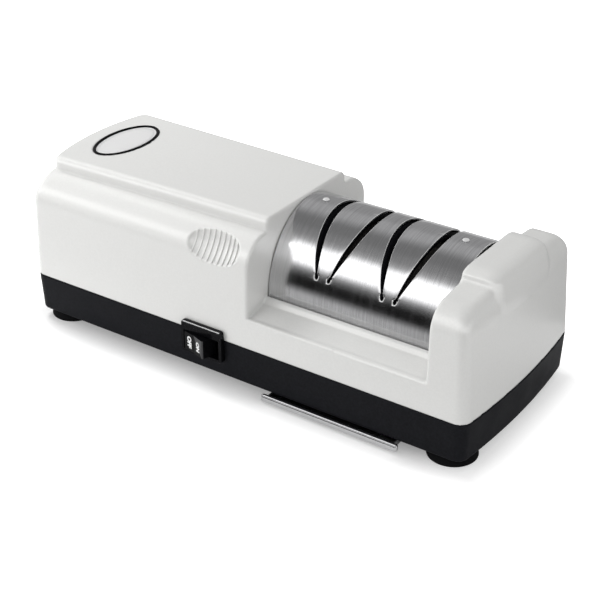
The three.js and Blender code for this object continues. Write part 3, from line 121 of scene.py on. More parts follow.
# Solids written as distance functions: below zero inside, in millimetres
def meet(a, b, radius):
    """What two solids share, with the edge between their faces rounded."""
    corner = np.hypot(np.maximum(a + radius, 0), np.maximum(b + radius, 0))
    return corner + np.minimum(np.maximum(a, b) + radius, 0) - radius


def fuse(a, b, radius):
    """Two solids as one, with a fillet in the corner between them."""
    return -meet(-a, -b, radius)


def rim(a, c, across, down):
    """A side face and a top face joined by an elliptical edge."""
    u = a / across + 1
    w = c / down + 1
    up, wp = np.maximum(u, 0), np.maximum(w, 0)
    length = np.hypot(up, wp)
    slope = np.hypot(up / across, wp / down)
    near = (length - 1) * length / np.maximum(slope, 1e-6)
    return np.where(length > 1e-4, near, np.maximum(a, c))


def ball(x, y, z, half):
    """An ellipsoid at the origin."""
    length = np.sqrt((x / half[0]) ** 2 + (y / half[1]) ** 2 + (z / half[2]) ** 2)
    slope = np.sqrt((x / half[0] ** 2) ** 2 + (y / half[1] ** 2) ** 2 + (z / half[2] ** 2) ** 2)
    return length * (length - 1) / np.maximum(slope, 1e-6)


def box(x, y, z, low, high):
    """A block between two corners."""
    apart = [np.maximum(lo - v, v - hi) for v, lo, hi in zip((x, y, z), low, high)]
    return np.maximum(np.maximum(apart[0], apart[1]), apart[2])


def smooth_step(value, start, end):
    """0 at the start and 1 at the end, with a soft rise between them."""
    share = np.clip((value - start) / (end - start), 0, 1)
    return share * share * (3 - 2 * share)


def polygon(points, y, z):
    """Signed distance to a closed outline in Y and Z."""
    pts = np.array(points, float)
    best = None
    inside = None
    for (ay, az), (by, bz) in zip(pts, np.roll(pts, -1, axis=0)):
        dy, dz = by - ay, bz - az
        share = np.clip(((y - ay) * dy + (z - az) * dz) / (dy * dy + dz * dz), 0, 1)
        apart = (y - ay - share * dy) ** 2 + (z - az - share * dz) ** 2
        crosses = ((az > z) != (bz > z)) & (y < (z - az) * dy / (dz if dz else 1e-9) + ay)
        best = apart if best is None else np.minimum(best, apart)
        inside = crosses if inside is None else inside ^ crosses
    return np.where(inside, -1, 1) * np.sqrt(best)


def bowed_end(x, y, reach, radius=BOW_RADIUS):
    """Both ends of the body, each bowed outward about the vertical."""
    return np.hypot(np.abs(x) - (reach - radius), y) - radius


def body_form(x, y, z):
    """Closed outer form of the upper housing, before the knife bay is cut."""
    draft = (z - PARTING) / (SHOULDER_START - PARTING)
    low = np.clip(draft, 0, 1)
    end_draft = np.where(x > 0, PILLAR_DRAFT, MOTOR_DRAFT)
    side = np.abs(y) - (HALF_WIDTH - low * SIDE_DRAFT)
    end = bowed_end(x, y, HALF_LENGTH - low * end_draft)
    us = side / SHOULDER_INSET + 1
    ue = end / SHOULDER_END + 1
    ka, kb = CORNER / SHOULDER_INSET, CORNER / SHOULDER_END
    alpha, beta = us + ka, ue + kb
    pa, pb = ka**-2, kb**-2
    middle = alpha * pa + beta * pb
    spread = middle**2 - (pa + pb) * (alpha**2 * pa + beta**2 * pb - 1)
    root = (middle - np.sqrt(np.maximum(spread, 0))) / (pa + pb)
    u = np.where((spread > 0) & (root < alpha) & (root < beta), root, np.maximum(us, ue))
    inner = HALF_WIDTH - SIDE_DRAFT - SHOULDER_INSET - np.abs(y)
    ramp = np.clip(inner + SLOPE_BLEND, 0, None) ** 2 / (4 * SLOPE_BLEND)
    ramp = np.where(inner > SLOPE_BLEND, inner, ramp)
    motor_lift = MOTOR_LIFT * smooth_step(inner, *LIFT_REACH)
    pillar = x > BAY_MIDDLE
    lift = np.where(pillar, PILLAR_SLOPE * np.clip(ramp / SLOPE_RUN, 0, 1), motor_lift)
    w = (z - SHOULDER_START - lift) / SHOULDER_RISE
    up, wp = np.maximum(u, 0), np.maximum(w, 0)
    length = np.hypot(up, wp)
    share = np.clip((us - ue) / (ka + kb) + 0.5, 0, 1)
    grow = (1 - share) / SHOULDER_END + share / SHOULDER_INSET
    slope = np.hypot(up * grow, wp / SHOULDER_RISE) / np.maximum(length, 1e-4)
    value = length + np.minimum(np.maximum(u, w), 0) - 1
    shoulder = value / np.where(length > 1e-4, slope, 0.1)
    sink = END_SINK * smooth_step(z, SINK_FROM, SINK_TO)
    reach = HALF_LENGTH - draft * end_draft - GAP - sink
    crown_end = np.where(pillar, bowed_end(x, y, reach), bowed_end(x, y, reach, CROWN_BOW_RADIUS))
    top = z - CROWN_TOP
    across = np.where(pillar, PILLAR_EDGE, MOTOR_EDGE)
    down = np.where(pillar, PILLAR_DROP, MOTOR_EDGE)
    half = np.where(pillar, PILLAR_HALF, MOTOR_HALF)
    lean = (BAY_MIDDLE - x) / (BAY_MIDDLE + HALF_LENGTH)
    front_spread = FRONT_SPREAD + FRONT_SWELL * np.clip(lean, 0, 1)**2
    spread = np.where(y > 0, REAR_SPREAD * lean, front_spread)
    across_crown = np.abs(y) / np.where(pillar, 1, 1 + spread / MOTOR_HALF)
    pillar_crown = meet(
        rim(across_crown - half, top, across, down), rim(crown_end, top, across, across), PILLAR_CORNER)
    motor_crown = rim(meet(across_crown - half, crown_end, MOTOR_CORNER), top, across, down)
    crown = np.where(pillar, pillar_crown, motor_crown)
    return fuse(shoulder, crown, np.where(pillar, PILLAR_CREASE, MOTOR_CREASE))


# Half of the bay's section: from above and outside the housing, over the ledge and down the well
BAY_SECTION = [
    (60.0, 110.0), (60.0, 43.2), (53.4, 43.2), (51.0, 43.2), (40.3, 46.0), (38.45, 48.25), (36.6, 48.9),
    (36.6, 20.0),
]


def bay_form(x, y, z):
    """The knife bay over its two ledges, with the well between them."""
    outline = BAY_SECTION + [(-a, b) for a, b in BAY_SECTION[::-1]]
    section = polygon(outline, np.abs(y) + 0 * z, z + 0 * y)
    return meet(section, np.abs(x - BAY_MIDDLE) - (BAY_RIGHT - BAY_LEFT) / 2, BAY_CORNER)


GRIP_CENTRE = (-11.5, 50.93, 75.49)
GRIP_LEAN = math.atan2(9.456, 15.0)
GRIP_HALF = (15.2, 3.7, 10.5)


def grip_local(x, y, z):
    """Coordinates of the thumb grip: along it, outward and up its slope."""
    out, up = np.abs(y) - GRIP_CENTRE[1], z - GRIP_CENTRE[2]
    c, s = math.cos(GRIP_LEAN), math.sin(GRIP_LEAN)
    return x - GRIP_CENTRE[0], out * c + up * s, up * c - out * s


CASE_CORNERS = [(a * 122.0, b * 21.5) for a in (-1, 1) for b in (-1, 1)]
FOOT_CORNERS = [(a * (119.0 if b < 0 else 113.5), b * 39.8) for a in (-1, 1) for b in (-1, 1)]
BADGE = (-109.1, 11.5, 21.8)
BADGE_ROOM, BADGE_SINK = 1.4, 1.2
CASE_BOSS, BOSS_FOOT = 4.4, 27.3
SCREW_PILOT, PILOT_TOP = 1.9, 41.0
SHAFT_HOLE = 9.0
BAY_SHELF = ((BAY_LEFT - 1, 32.1, 35.5), (BAY_RIGHT + 1, 37.6, 37.7))
SHAFT_PASSAGE = ((BAY_LEFT - 4.5, -18, 20), (BAY_LEFT + 2, 18, 35.5))
SWITCH_NOTCH = ((-29.1, -60, 20), (-4.6, -49.9, 28.5))


def housing_form(x, y, z):
    """The white upper housing: shell, shelf, bosses, openings, badge seat and thumb grips."""
    bay_edge = np.where(x > BAY_MIDDLE, BAY_EDGE_PILLAR, BAY_EDGE_MOTOR)
    outside = meet(body_form(x, y, z), -bay_form(x, y, z), bay_edge)
    scoop = ball(*grip_local(x, y, z), GRIP_HALF)
    hollow = np.maximum(outside + WALL, WALL - scoop)
    shell = np.maximum(meet(outside, HOUSING_FOOT - z, 0.4), -hollow)
    shell = np.minimum(shell, box(x, np.abs(y), z, *BAY_SHELF))
    for cx, cy in CASE_CORNERS:
        apart = np.hypot(x - cx, y - cy)
        boss = np.maximum(np.maximum(apart - CASE_BOSS, BOSS_FOOT - z), outside + 1)
        pilot = np.maximum(apart - SCREW_PILOT, z - PILOT_TOP)
        shell = np.maximum(np.minimum(shell, boss), -pilot)
    for wall in (BAY_LEFT, BAY_RIGHT):
        hole = np.maximum(np.hypot(y, z - AXIS) - SHAFT_HOLE, np.abs(x - wall) - WALL - 2)
        shell = np.maximum(shell, -hole)
    for opening in (SHAFT_PASSAGE, SWITCH_NOTCH):
        shell = np.maximum(shell, -box(x, y, z, *opening))
    ex, ey = BADGE[1] + BADGE_ROOM, BADGE[2] + BADGE_ROOM
    q = np.hypot((x - BADGE[0]) / ex, y / ey)
    oval = (q - 1) * q / np.maximum(np.hypot((x - BADGE[0]) / ex**2, y / ey**2), 1e-6)
    seat = np.maximum(oval, CROWN_TOP - BADGE_SINK - z)
    shell = meet(shell, -seat, 0.3)
    return meet(shell, -scoop, 0.7)


# Base, as in the CAD source
BASE_FOOT = 5.5
BASE_FLOOR = 8.0
BASE_TAPER, TAPER_HEIGHT = 0.8, 19.8
POST_FOOT = 7.2
TONGUE_BACK = 4.3
TONGUE_STEPS = [(3.1, 25.0, 29.3), (1.7, 23.3, 25.5)]
BRACKET_POSTS = [(a, b) for a in (-92.5, -31.5) for b in (-22.0, 22.0)]
PEDESTAL_POSTS = [(120.5, b) for b in (-11.5, 11.5)]
# Centre, radius and top of each post
POSTS = ([(c, 5.0, 17.0) for c in FOOT_CORNERS] + [(c, 4.4, 27.0) for c in CASE_CORNERS]
         + [(c, 4.6, 13.8) for c in BRACKET_POSTS + PEDESTAL_POSTS])
# Centre, radius, bottom and top of each screw hole
HOLES = ([(c, 1.9, 0, 14.5) for c in FOOT_CORNERS] + [(c, 1.9, 0, 30) for c in CASE_CORNERS]
         + [(c, 3.3, 0, 12) for c in CASE_CORNERS] + [(c, 1.9, 8.0, 15) for c in BRACKET_POSTS])
TRAY_MIDDLE = 59.4
RUNNER_WEB = ((39.4, -44, 2.1), (41.4, 34, 6.3))
RUNNER_FLANGE = ((37.0, -44, 2.1), (41.4, 34, 3.4))
TRAY_OPENING = ((27.4, -30, 0), (91.4, 30, 10))
SWITCH_OPENING = ((-29.1, -60, 13.9), (-4.6, -46.7, 32))
RIB_PLACES, RIB_HALF, RIB_REACH, RIB_TOP = (20.4, 98.4), 1, 40.4, 13.0
VENT_MIDDLE, VENT_PITCH, VENT_COUNT, VENT_REACH, VENT_HALF = -62.0, 5.5, 8, 18.6, 1.4
GLAND_PLACE, GLAND_RADIUS, GLAND_DEPTH = (-100.0, 17.0), 6.8, 47.9


def base_form(x, y, z):
    """The black base: shell, tongue, posts, openings and tray runners."""
    taper = BASE_TAPER * np.clip((PARTING - z) / TAPER_HEIGHT, 0, 1.1)
    side = np.abs(y) - (HALF_WIDTH - taper)
    plan = meet(side, bowed_end(x, y, HALF_LENGTH - taper), CORNER)
    outer = meet(meet(plan, BASE_FOOT - z, 1.0), z - PARTING, 0.3)
    solid = np.maximum(outer, -np.maximum(plan + WALL, BASE_FLOOR - z))
    for step, low, high in TONGUE_STEPS:
        ring = np.maximum(np.maximum(plan + step, -(plan + TONGUE_BACK)), np.maximum(low - z, z - high))
        solid = np.minimum(solid, ring)
    for (cx, cy), radius, top in POSTS:
        post = np.maximum(np.hypot(x - cx, y - cy) - radius, np.maximum(POST_FOOT - z, z - top))
        solid = np.minimum(solid, post)
    for cx in RIB_PLACES:
        rib = box(x, y, z, (cx - RIB_HALF, -RIB_REACH, POST_FOOT), (cx + RIB_HALF, RIB_REACH, RIB_TOP))
        solid = np.minimum(solid, rib)
    runner = np.minimum(
        box(np.abs(x - TRAY_MIDDLE), y, z, *RUNNER_WEB), box(np.abs(x - TRAY_MIDDLE), y, z, *RUNNER_FLANGE))
    solid = np.minimum(solid, runner)
    solid = np.maximum(solid, -box(x, y, z, *TRAY_OPENING))
    for index in range(VENT_COUNT):
        cx = VENT_MIDDLE + (index - (VENT_COUNT - 1) / 2) * VENT_PITCH
        slot = np.hypot(x - cx, np.maximum(np.abs(y) - VENT_REACH, 0)) - VENT_HALF
        solid = np.maximum(solid, -np.maximum(slot, z - 10))
    for (cx, cy), radius, low, high in HOLES:
        hole = np.maximum(np.hypot(x - cx, y - cy) - radius, np.maximum(low - z, z - high))
        solid = np.maximum(solid, -hole)
    solid = np.maximum(solid, -box(x, y, z, *SWITCH_OPENING))
    apart = np.hypot(x - GLAND_PLACE[0], z - GLAND_PLACE[1]) - GLAND_RADIUS
    return np.maximum(solid, -np.maximum(apart, GLAND_DEPTH - y))


def skin_of(field, low, high, pitch):
    """Points and faces of the skin of a distance function: one point a cell, then moved onto the skin."""
    axes = [np.arange(lo, hi + pitch, pitch, dtype=np.float32) for lo, hi in zip(low, high)]
    value = field(axes[0][:, None, None], axes[1][None, :, None], axes[2][None, None, :])
    value = np.ascontiguousarray(np.broadcast_to(value, [len(a) for a in axes]), np.float32)
    inside = value < 0
    count = np.zeros([n - 1 for n in inside.shape], np.int8)
    offsets = [(i, j, k) for i in (0, 1) for j in (0, 1) for k in (0, 1)]
    ends = inside.shape
    for i, j, k in offsets:
        count += inside[i:ends[0] - 1 + i, j:ends[1] - 1 + j, k:ends[2] - 1 + k]
    active = (count > 0) & (count < 8)
    cells = np.argwhere(active)
    index = np.full(active.shape, -1, np.int64)
    index[active] = np.arange(len(cells))
    corner = [value[tuple((cells + o).T)] for o in np.array(offsets)]
    total = np.zeros((len(cells), 3))
    hits = np.zeros(len(cells))
    for a in range(8):
        for b in range(a + 1, 8):
            step = np.subtract(offsets[b], offsets[a])
            if np.abs(step).sum() != 1:
                continue
            cross = (corner[a] < 0) != (corner[b] < 0)
            share = np.where(cross, corner[a] / np.where(cross, corner[a] - corner[b], 1), 0)
            total += cross[:, None] * (np.array(offsets[a]) + share[:, None] * step)
            hits += cross
    points = np.array([a[0] for a in axes]) + (cells + total / hits[:, None]) * pitch
    faces = []
    for axis in range(3):
        u, v = (axis + 1) % 3, (axis + 2) % 3
        first = np.take(inside, range(0, ends[axis] - 1), axis)
        second = np.take(inside, range(1, ends[axis]), axis)
        spot = np.argwhere(first != second)
        spot = spot[(spot[:, u] > 0) & (spot[:, v] > 0)
                    & (spot[:, u] < ends[u] - 1) & (spot[:, v] < ends[v] - 1)]
        eu, ev = np.eye(3, dtype=int)[u], np.eye(3, dtype=int)[v]
        ring = [spot - eu - ev, spot - ev, spot, spot - eu]
        quad = np.stack([index[tuple(r.T)] for r in ring], 1)
        outward = first[tuple(spot.T)]
        quad[~outward] = quad[~outward][:, ::-1]
        faces.append(quad)
    faces = np.concatenate(faces)

    def slope(at):
        step = 0.05
        parts = []
        for axis in range(3):
            move = np.zeros(3)
            move[axis] = step
            ahead, behind = at + move, at - move
            parts.append((field(*ahead.T) - field(*behind.T)) / (2 * step))
        return np.stack(parts, 1)

    start = points.copy()
    for _ in range(3):
        grad = slope(points)
        move = field(*points.T)[:, None] * grad / np.maximum((grad**2).sum(1), 0.2)[:, None]
        points = start + np.clip(points - move - start, -0.6 * pitch, 0.6 * pitch)
    return points, faces


def mesh_object(name, points, faces, material, body="body"):
    """A mesh piece from points in millimetres and an array or list of faces."""
    mesh = bpy.data.meshes.new(name)
    if isinstance(faces, np.ndarray):
        mesh.vertices.add(len(points))
        mesh.vertices.foreach_set("co", (np.asarray(points) * MM).astype(np.float32).ravel())
        size = faces.shape[1]
        mesh.loops.add(faces.size)
        mesh.loops.foreach_set("vertex_index", faces.astype(np.int32).ravel())
        mesh.polygons.add(len(faces))
        mesh.polygons.foreach_set("loop_start", np.arange(0, faces.size, size, dtype=np.int32))
        mesh.update(calc_edges=True)
    else:
        mesh.from_pydata([tuple(c * MM for c in p) for p in points], [], faces)
    mesh.validate()
    mesh.update()
    mesh.polygons.foreach_set("use_smooth", [True] * len(mesh.polygons))
    obj = bpy.data.objects.new(name, mesh)
    scene.collection.objects.link(obj)
    mesh.materials.append(material)
    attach(obj, body)
    return obj


# Procedural finishes
class Finish:
    """A node material with colour variation, surface grain, uneven gloss and lighter edges, part scuffing and
    part painted highlight.
    """

    def __init__(self, name, colour, rough, metal=0.0):
        self.material = bpy.data.materials.new(name)
        self.material.use_nodes = True
        self.tree = self.material.node_tree
        self.shader = self.tree.nodes["Principled BSDF"]
        self.shader.inputs["Metallic"].default_value = metal
        self.coords = self.tree.nodes.new("ShaderNodeTexCoord").outputs["Object"]
        self.colour = colour
        self.rough = rough
        self.paint = None
        self.height = None

    def link(self, out, into):
        """Join an output socket to an input socket."""
        self.tree.links.new(out, into)

    def noise(self, scale, detail=3.0, stretch=(1, 1, 1), kind="noise"):
        """Noise, or cells, fixed to the object."""
        mapping = self.tree.nodes.new("ShaderNodeMapping")
        mapping.inputs["Scale"].default_value = stretch
        self.link(self.coords, mapping.inputs["Vector"])
        if kind == "cells":
            node = self.tree.nodes.new("ShaderNodeTexVoronoi")
            node.inputs["Scale"].default_value = scale
            self.link(mapping.outputs[0], node.inputs["Vector"])
            return node.outputs["Distance"]
        node = self.tree.nodes.new("ShaderNodeTexNoise")
        node.inputs["Scale"].default_value = scale
        node.inputs["Detail"].default_value = detail
        self.link(mapping.outputs[0], node.inputs["Vector"])
        return node.outputs["Fac"]

    def span(self, value, low, high, start=0.3, end=0.7):
        """Value carried from its start and end to low and high."""
        node = self.tree.nodes.new("ShaderNodeMapRange")
        node.inputs["From Min"].default_value = start
        node.inputs["From Max"].default_value = end
        node.inputs["To Min"].default_value = low
        node.inputs["To Max"].default_value = high
        self.link(value, node.inputs["Value"])
        return node.outputs[0]

    def mix(self, share, first, second):
        """A colour between the first and the second."""
        node = self.tree.nodes.new("ShaderNodeMix")
        node.data_type = "RGBA"
        for value, socket in ((share, 0), (first, 6), (second, 7)):
            if isinstance(value, bpy.types.NodeSocket):
                self.link(value, node.inputs[socket])
            else:
                node.inputs[socket].default_value = value
        return node.outputs[2]

    def vary(self, source, tone, low=0.3, high=0.7):
        """Colour moves towards the tone where the source is high."""
        first = self.paint or (*self.colour, 1)
        self.paint = self.mix(self.span(source, 0, 1, low, high), first, (*tone, 1))

    def edge_wear_and_sheen(self, tone, amount=0.5, start=0.53, end=0.62):
        """Sharp outer edges take the tone: scuffing that also paints an edge highlight."""
        edge = self.tree.nodes.new("ShaderNodeNewGeometry").outputs["Pointiness"]
        first = self.paint or (*self.colour, 1)
        self.paint = self.mix(self.span(edge, 0, amount, start, end), first, (*tone, 1))

    def gloss(self, source, spread):
        """Roughness wanders about its middle value."""
        rough = self.span(source, self.rough - spread, self.rough + spread)
        self.link(rough, self.shader.inputs["Roughness"])

    def bump(self, source, depth, strength=1.0):
        """Relief of a depth in millimetres, laid over any relief before it."""
        node = self.tree.nodes.new("ShaderNodeBump")
        node.inputs["Distance"].default_value = depth * MM
        node.inputs["Strength"].default_value = strength
        self.link(source, node.inputs["Height"])
        if self.height is not None:
            self.link(self.height, node.inputs["Normal"])
        self.height = node.outputs[0]

    def done(self):
        """Join colour and relief to the shader and give the material."""
        if self.paint is None:
            self.shader.inputs["Base Color"].default_value = (*self.colour, 1)
        else:
            self.link(self.paint, self.shader.inputs["Base Color"])
        if self.height is not None:
            self.link(self.height, self.shader.inputs["Normal"])
        return self.material


def shade(colour, share):
    """A colour made darker or lighter, no lighter than white."""
    return tuple(min(c * share, 1.0) for c in colour)


# Reach of the painted shade in creases, in metres; then the clear coat
CREASE_SHADE_REACH = 0.006
COAT_ROUGHNESS = 0.25
COAT_IOR = 1.6


def plastic(name, colour, rough, grain=700, depth=0.02, tint=0.05, worn_and_sheen=1.15, specular=0.5, uneven=0.06,
            coat=0.0, crease_shade=0.0):
    """Moulded plastic with a fine spark-eroded grain, its creases darkened by painted shade."""
    f = Finish(name, colour, rough)
    f.shader.inputs["Specular IOR Level"].default_value = specular
    fine = f.noise(grain, 2)
    broad = f.noise(14, 4)
    f.vary(broad, shade(colour, 1 - tint))
    f.vary(fine, shade(colour, 1 + tint))
    # Sharp edges lighter: scuffing, and on the black plastics a painted edge highlight
    f.edge_wear_and_sheen(shade(colour, worn_and_sheen), 0.6)
    # Painted shade: ambient occlusion darkens the colour in the creases, where shade falls
    if crease_shade:
        crease_occlusion = f.tree.nodes.new("ShaderNodeAmbientOcclusion")
        crease_occlusion.samples = 8
        crease_occlusion.only_local = True
        crease_occlusion.inputs["Distance"].default_value = CREASE_SHADE_REACH
        share = f.span(crease_occlusion.outputs["AO"], 1, 0, 0.45, 0.95)
        f.paint = f.mix(share, f.paint, (*shade(colour, 1 - crease_shade), 1))
    f.gloss(f.noise(45, 4), uneven)
    f.bump(fine, depth)
    f.shader.inputs["Coat Weight"].default_value = coat
    f.shader.inputs["Coat Roughness"].default_value = COAT_ROUGHNESS
    f.shader.inputs["Coat IOR"].default_value = COAT_IOR
    return f.done()


def metal(name, colour, rough, stretch=(1, 1, 1), grain=300, depth=0.01, tint=0.12, metallic=1.0):
    """Metal with fine tool lines along the axis that is stretched least."""
    f = Finish(name, colour, rough, metallic)
    lines = f.noise(grain, 3, stretch)
    stains = f.noise(30, 4)
    f.vary(lines, shade(colour, 1 - tint))
    f.vary(stains, shade(colour, 1 - tint / 2))
    f.edge_wear_and_sheen(shade(colour, 1.2), 0.7)
    f.gloss(stains, rough * 0.35)
    f.bump(lines, depth)
    return f.done()


def brushed_hood():
    """Stainless sheet brushed round its arch, its cut edges painted near white: bright cut metal and a
    painted highlight.
    """
    colour = (0.60, 0.60, 0.61)
    f = Finish("brushed_hood", colour, 0.16, 1.0)
    streak = f.noise(1, 3, (2200, 60, 60))
    wide = f.noise(1, 3, (420, 22, 22))
    f.vary(wide, shade(colour, 0.90), 0.35, 0.65)
    f.vary(streak, shade(colour, 1.14), 0.35, 0.68)
    # Cut edges near white: bright cut metal, with a painted highlight along the slots
    f.edge_wear_and_sheen((1.0, 1.0, 1.0), 0.9, 0.52, 0.58)
    f.gloss(wide, 0.03)
    f.bump(streak, 0.004, 0.3)
    f.bump(wide, 0.004, 0.1)
    return f.done()


def grit(name, colour, dark, light, scale):
    """Bonded abrasive grains."""
    f = Finish(name, colour, 0.92)
    cells = f.noise(scale, kind="cells")
    specks = f.noise(scale * 2.2, 2)
    f.vary(cells, dark, 0.1, 0.7)
    f.vary(specks, light, 0.55, 0.72)
    f.gloss(specks, 0.06)
    f.bump(cells, 0.12)
    return f.done()


materials = {
    # White housing: painted shade in its creases
    "white_plastic": plastic(
        "white_plastic", (0.745, 0.745, 0.73), 0.36, 900, 0.01, 0.02, 1.06,
        uneven=0.02, coat=1.0, crease_shade=0.17),
    "black_plastic": plastic("black_plastic", (0.0075, 0.0078, 0.0098), 0.5, 900, 0.03, 0.3, 1.8, 0.09),
    "gloss_black": plastic("gloss_black", (0.003, 0.003, 0.0036), 0.12, 500, 0.0015, 0.2, 2.0, 0.08),
    # Light metal for the painted highlight on the switch bezel's edge
    "bezel_highlight_metal": metal("bezel_highlight_metal", (0.72, 0.72, 0.73), 0.2, (60, 1, 1), 30, 0.001, 0.05),
    "rubber": plastic("rubber", (0.003, 0.003, 0.0035), 0.75, 500, 0.04, 0.25, 1.5, 0.1),
    "brushed_steel": brushed_hood(),
    "bright_steel": metal("bright_steel", (0.66, 0.66, 0.68), 0.24),
    "polished_steel": metal("polished_steel", (0.86, 0.86, 0.87), 0.12, (60, 1, 1), 30, 0.002, 0.06),
    # Shaded and lit copies of the rocker's black plastic: painted shade and painted light
    "rocker_shaded_half": plastic("rocker_shaded_half", (0.0015, 0.0015, 0.0018), 0.3, 500, 0.003, 0.2, 2.0, 0.1),
    "rocker_lit_half": plastic("rocker_lit_half", (0.028, 0.028, 0.030), 0.3, 500, 0.003, 0.2, 2.0, 0.4),
    # Light steel: the rivets' own finish, and a painted highlight on the hood's edges and eye rims
    "rivet_and_highlight_steel": metal("rivet_and_highlight_steel", (0.88, 0.88, 0.88), 0.4, metallic=0.4),
    "laminations": metal("laminations", (0.20, 0.205, 0.22), 0.5, (40, 1, 1), 60, 0.05, 0.35),
    "copper": metal("copper", (0.52, 0.17, 0.07), 0.35, (1, 1, 1), 260, 0.05, 0.35),
    "cast_aluminium": metal("cast_aluminium", (0.42, 0.43, 0.44), 0.5, (1, 1, 1), 260, 0.05, 0.2),
    "bronze": metal("bronze", (0.42, 0.25, 0.09), 0.42, (1, 1, 1), 300, 0.03, 0.25),
    "coarse_grit": grit("coarse_grit", (0.11, 0.095, 0.09), (0.05, 0.043, 0.04), (0.3, 0.27, 0.25), 900),
    # Fine wheel darkened below its own grit: painted shade, as it is seen only in the dark through the slots
    "fine_grit": grit("fine_grit", (0.20, 0.19, 0.175), (0.12, 0.115, 0.105), (0.45, 0.43, 0.4), 1600),
    "fan_plastic": plastic("fan_plastic", (0.58, 0.55, 0.45), 0.55, 500, 0.03),
    "badge_silver": metal(
        "badge_silver", (0.82, 0.82, 0.82), 0.35, (1, 24, 24), 60, 0.004, 0.06, 0.25),
    "film_box": plastic("film_box", (0.68, 0.64, 0.5), 0.45, 400, 0.02),
}


# Smooth pieces in place of the faceted shells
SHELL_PITCH = 0.75
RIB_PITCH = 0.26
GRIP_RIBS = 9
GRIP_RIB_GAP = 3.1
GRIP_RIB_THICK = 0.9
GRIP_RIB_TOPS = (14.3, 3.0, 9.6)
GRIP_RIB_ENDS = (15.6, 4.1, 10.9)


def shells():
    """The two moulded shells, from their distance functions."""
    for name, node, form, slot, low, high in (
            ("housing_skin", "upper_housing", housing_form, "white_plastic", 25.1, 92.2),
            ("base_skin", "base", base_form, "black_plastic", 0.9, 30.4)):
        points, faces = skin_of(form, (-137, -56, low), (137, 56, high), SHELL_PITCH)
        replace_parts(mesh_object(name, points, faces, materials[slot]), node)


def grip_ribs():
    """Upright ribs in each thumb grip, flush with the housing at their ends."""
    def ribs(x, y, z):
        along, out, up = grip_local(x, y, z)
        last = GRIP_RIBS // 2
        offset = along - GRIP_RIB_GAP * np.clip(np.round(along / GRIP_RIB_GAP), -last, last)
        bar = np.abs(offset) - GRIP_RIB_THICK / 2
        tops = -ball(along, out, up, GRIP_RIB_TOPS)
        sides = ball(along, out, up, GRIP_RIB_ENDS)
        flush = body_form(x, y, z) + 0.06
        return meet(meet(bar, np.maximum(tops, flush), 0.3), sides, 0.1)

    for side, name in ((-1, "grip_ribs_front"), (1, "grip_ribs_back")):
        near, far = sorted((side * 40.0, side * 56.0))
        points, faces = skin_of(ribs, (-28, near, 64), (7, far, 87), RIB_PITCH)
        mesh_object(name, points, faces, materials["white_plastic"])


# Slotted hood: a sheet bent over the wheels, its slots following the knives' path
SLOT_FLOOR = 65.2
EYE_HALF = (1.15, 1.75)
EYE_MIDDLE = 66.0
HOOD_HALF = 36.0
HOOD_FOOT = 49.5
HOOD_RISE = 39.9
HOOD_LEFT, HOOD_RIGHT = 10.5, 109.6
SKIRT_LOW, SKIRT_STEP, SKIRT_ROWS = 38, 1.9, 6
ARCH_STEP, ARCH_CLEAR = 1.5, 0.6
HOOD_SHEET = 0.9
HOOD_BRIGHT_EDGE = 0.36
EYE_RIM = 0.15
# Side to which each slot leans, middle of its stage, and its lean in degrees
SLOTS = [(-1, 40.2, 15.0), (1, 40.2, 20.2), (-1, 77.1, 15.4), (1, 77.1, 19.6)]
SLOT_OUTSET = 3.5
WEDGE_HEIGHTS, WEDGE_HALVES = [SLOT_FLOOR, 79.0, 90.5], [0.4, 1.8, 2.15]
# Heights of the sheet's rows round the eyes, from their lower ends
EYE_ROWS = [-2.2, -1.2, -0.5, 0, 0.04, 0.15, 0.3, 0.5, 0.75, 1.0, 1.3, 1.6, 1.9, 2.2, 2.5, 2.75, 3.0, 3.2,
            3.35, 3.5]
SHEET_COLUMNS = [16, 5, 18, 5, 17]
GAP_COLUMNS = 4


def slot_half(height):
    """Half the width of a slot: a wedge that rises out of a round eye."""
    wedge = np.interp(height, WEDGE_HEIGHTS, WEDGE_HALVES)
    eye = EYE_HALF[0] * math.sqrt(max(1 - ((height - EYE_MIDDLE) / EYE_HALF[1]) ** 2, 0))
    return max(eye, wedge if height >= SLOT_FLOOR else 0)


def slot_middle(slot, height):
    """Where a slot's middle runs along X at a height."""
    lean, stage, tilt = slot
    return stage + lean * (SLOT_OUTSET + (height - SLOT_FLOOR) * math.tan(math.radians(tilt)))


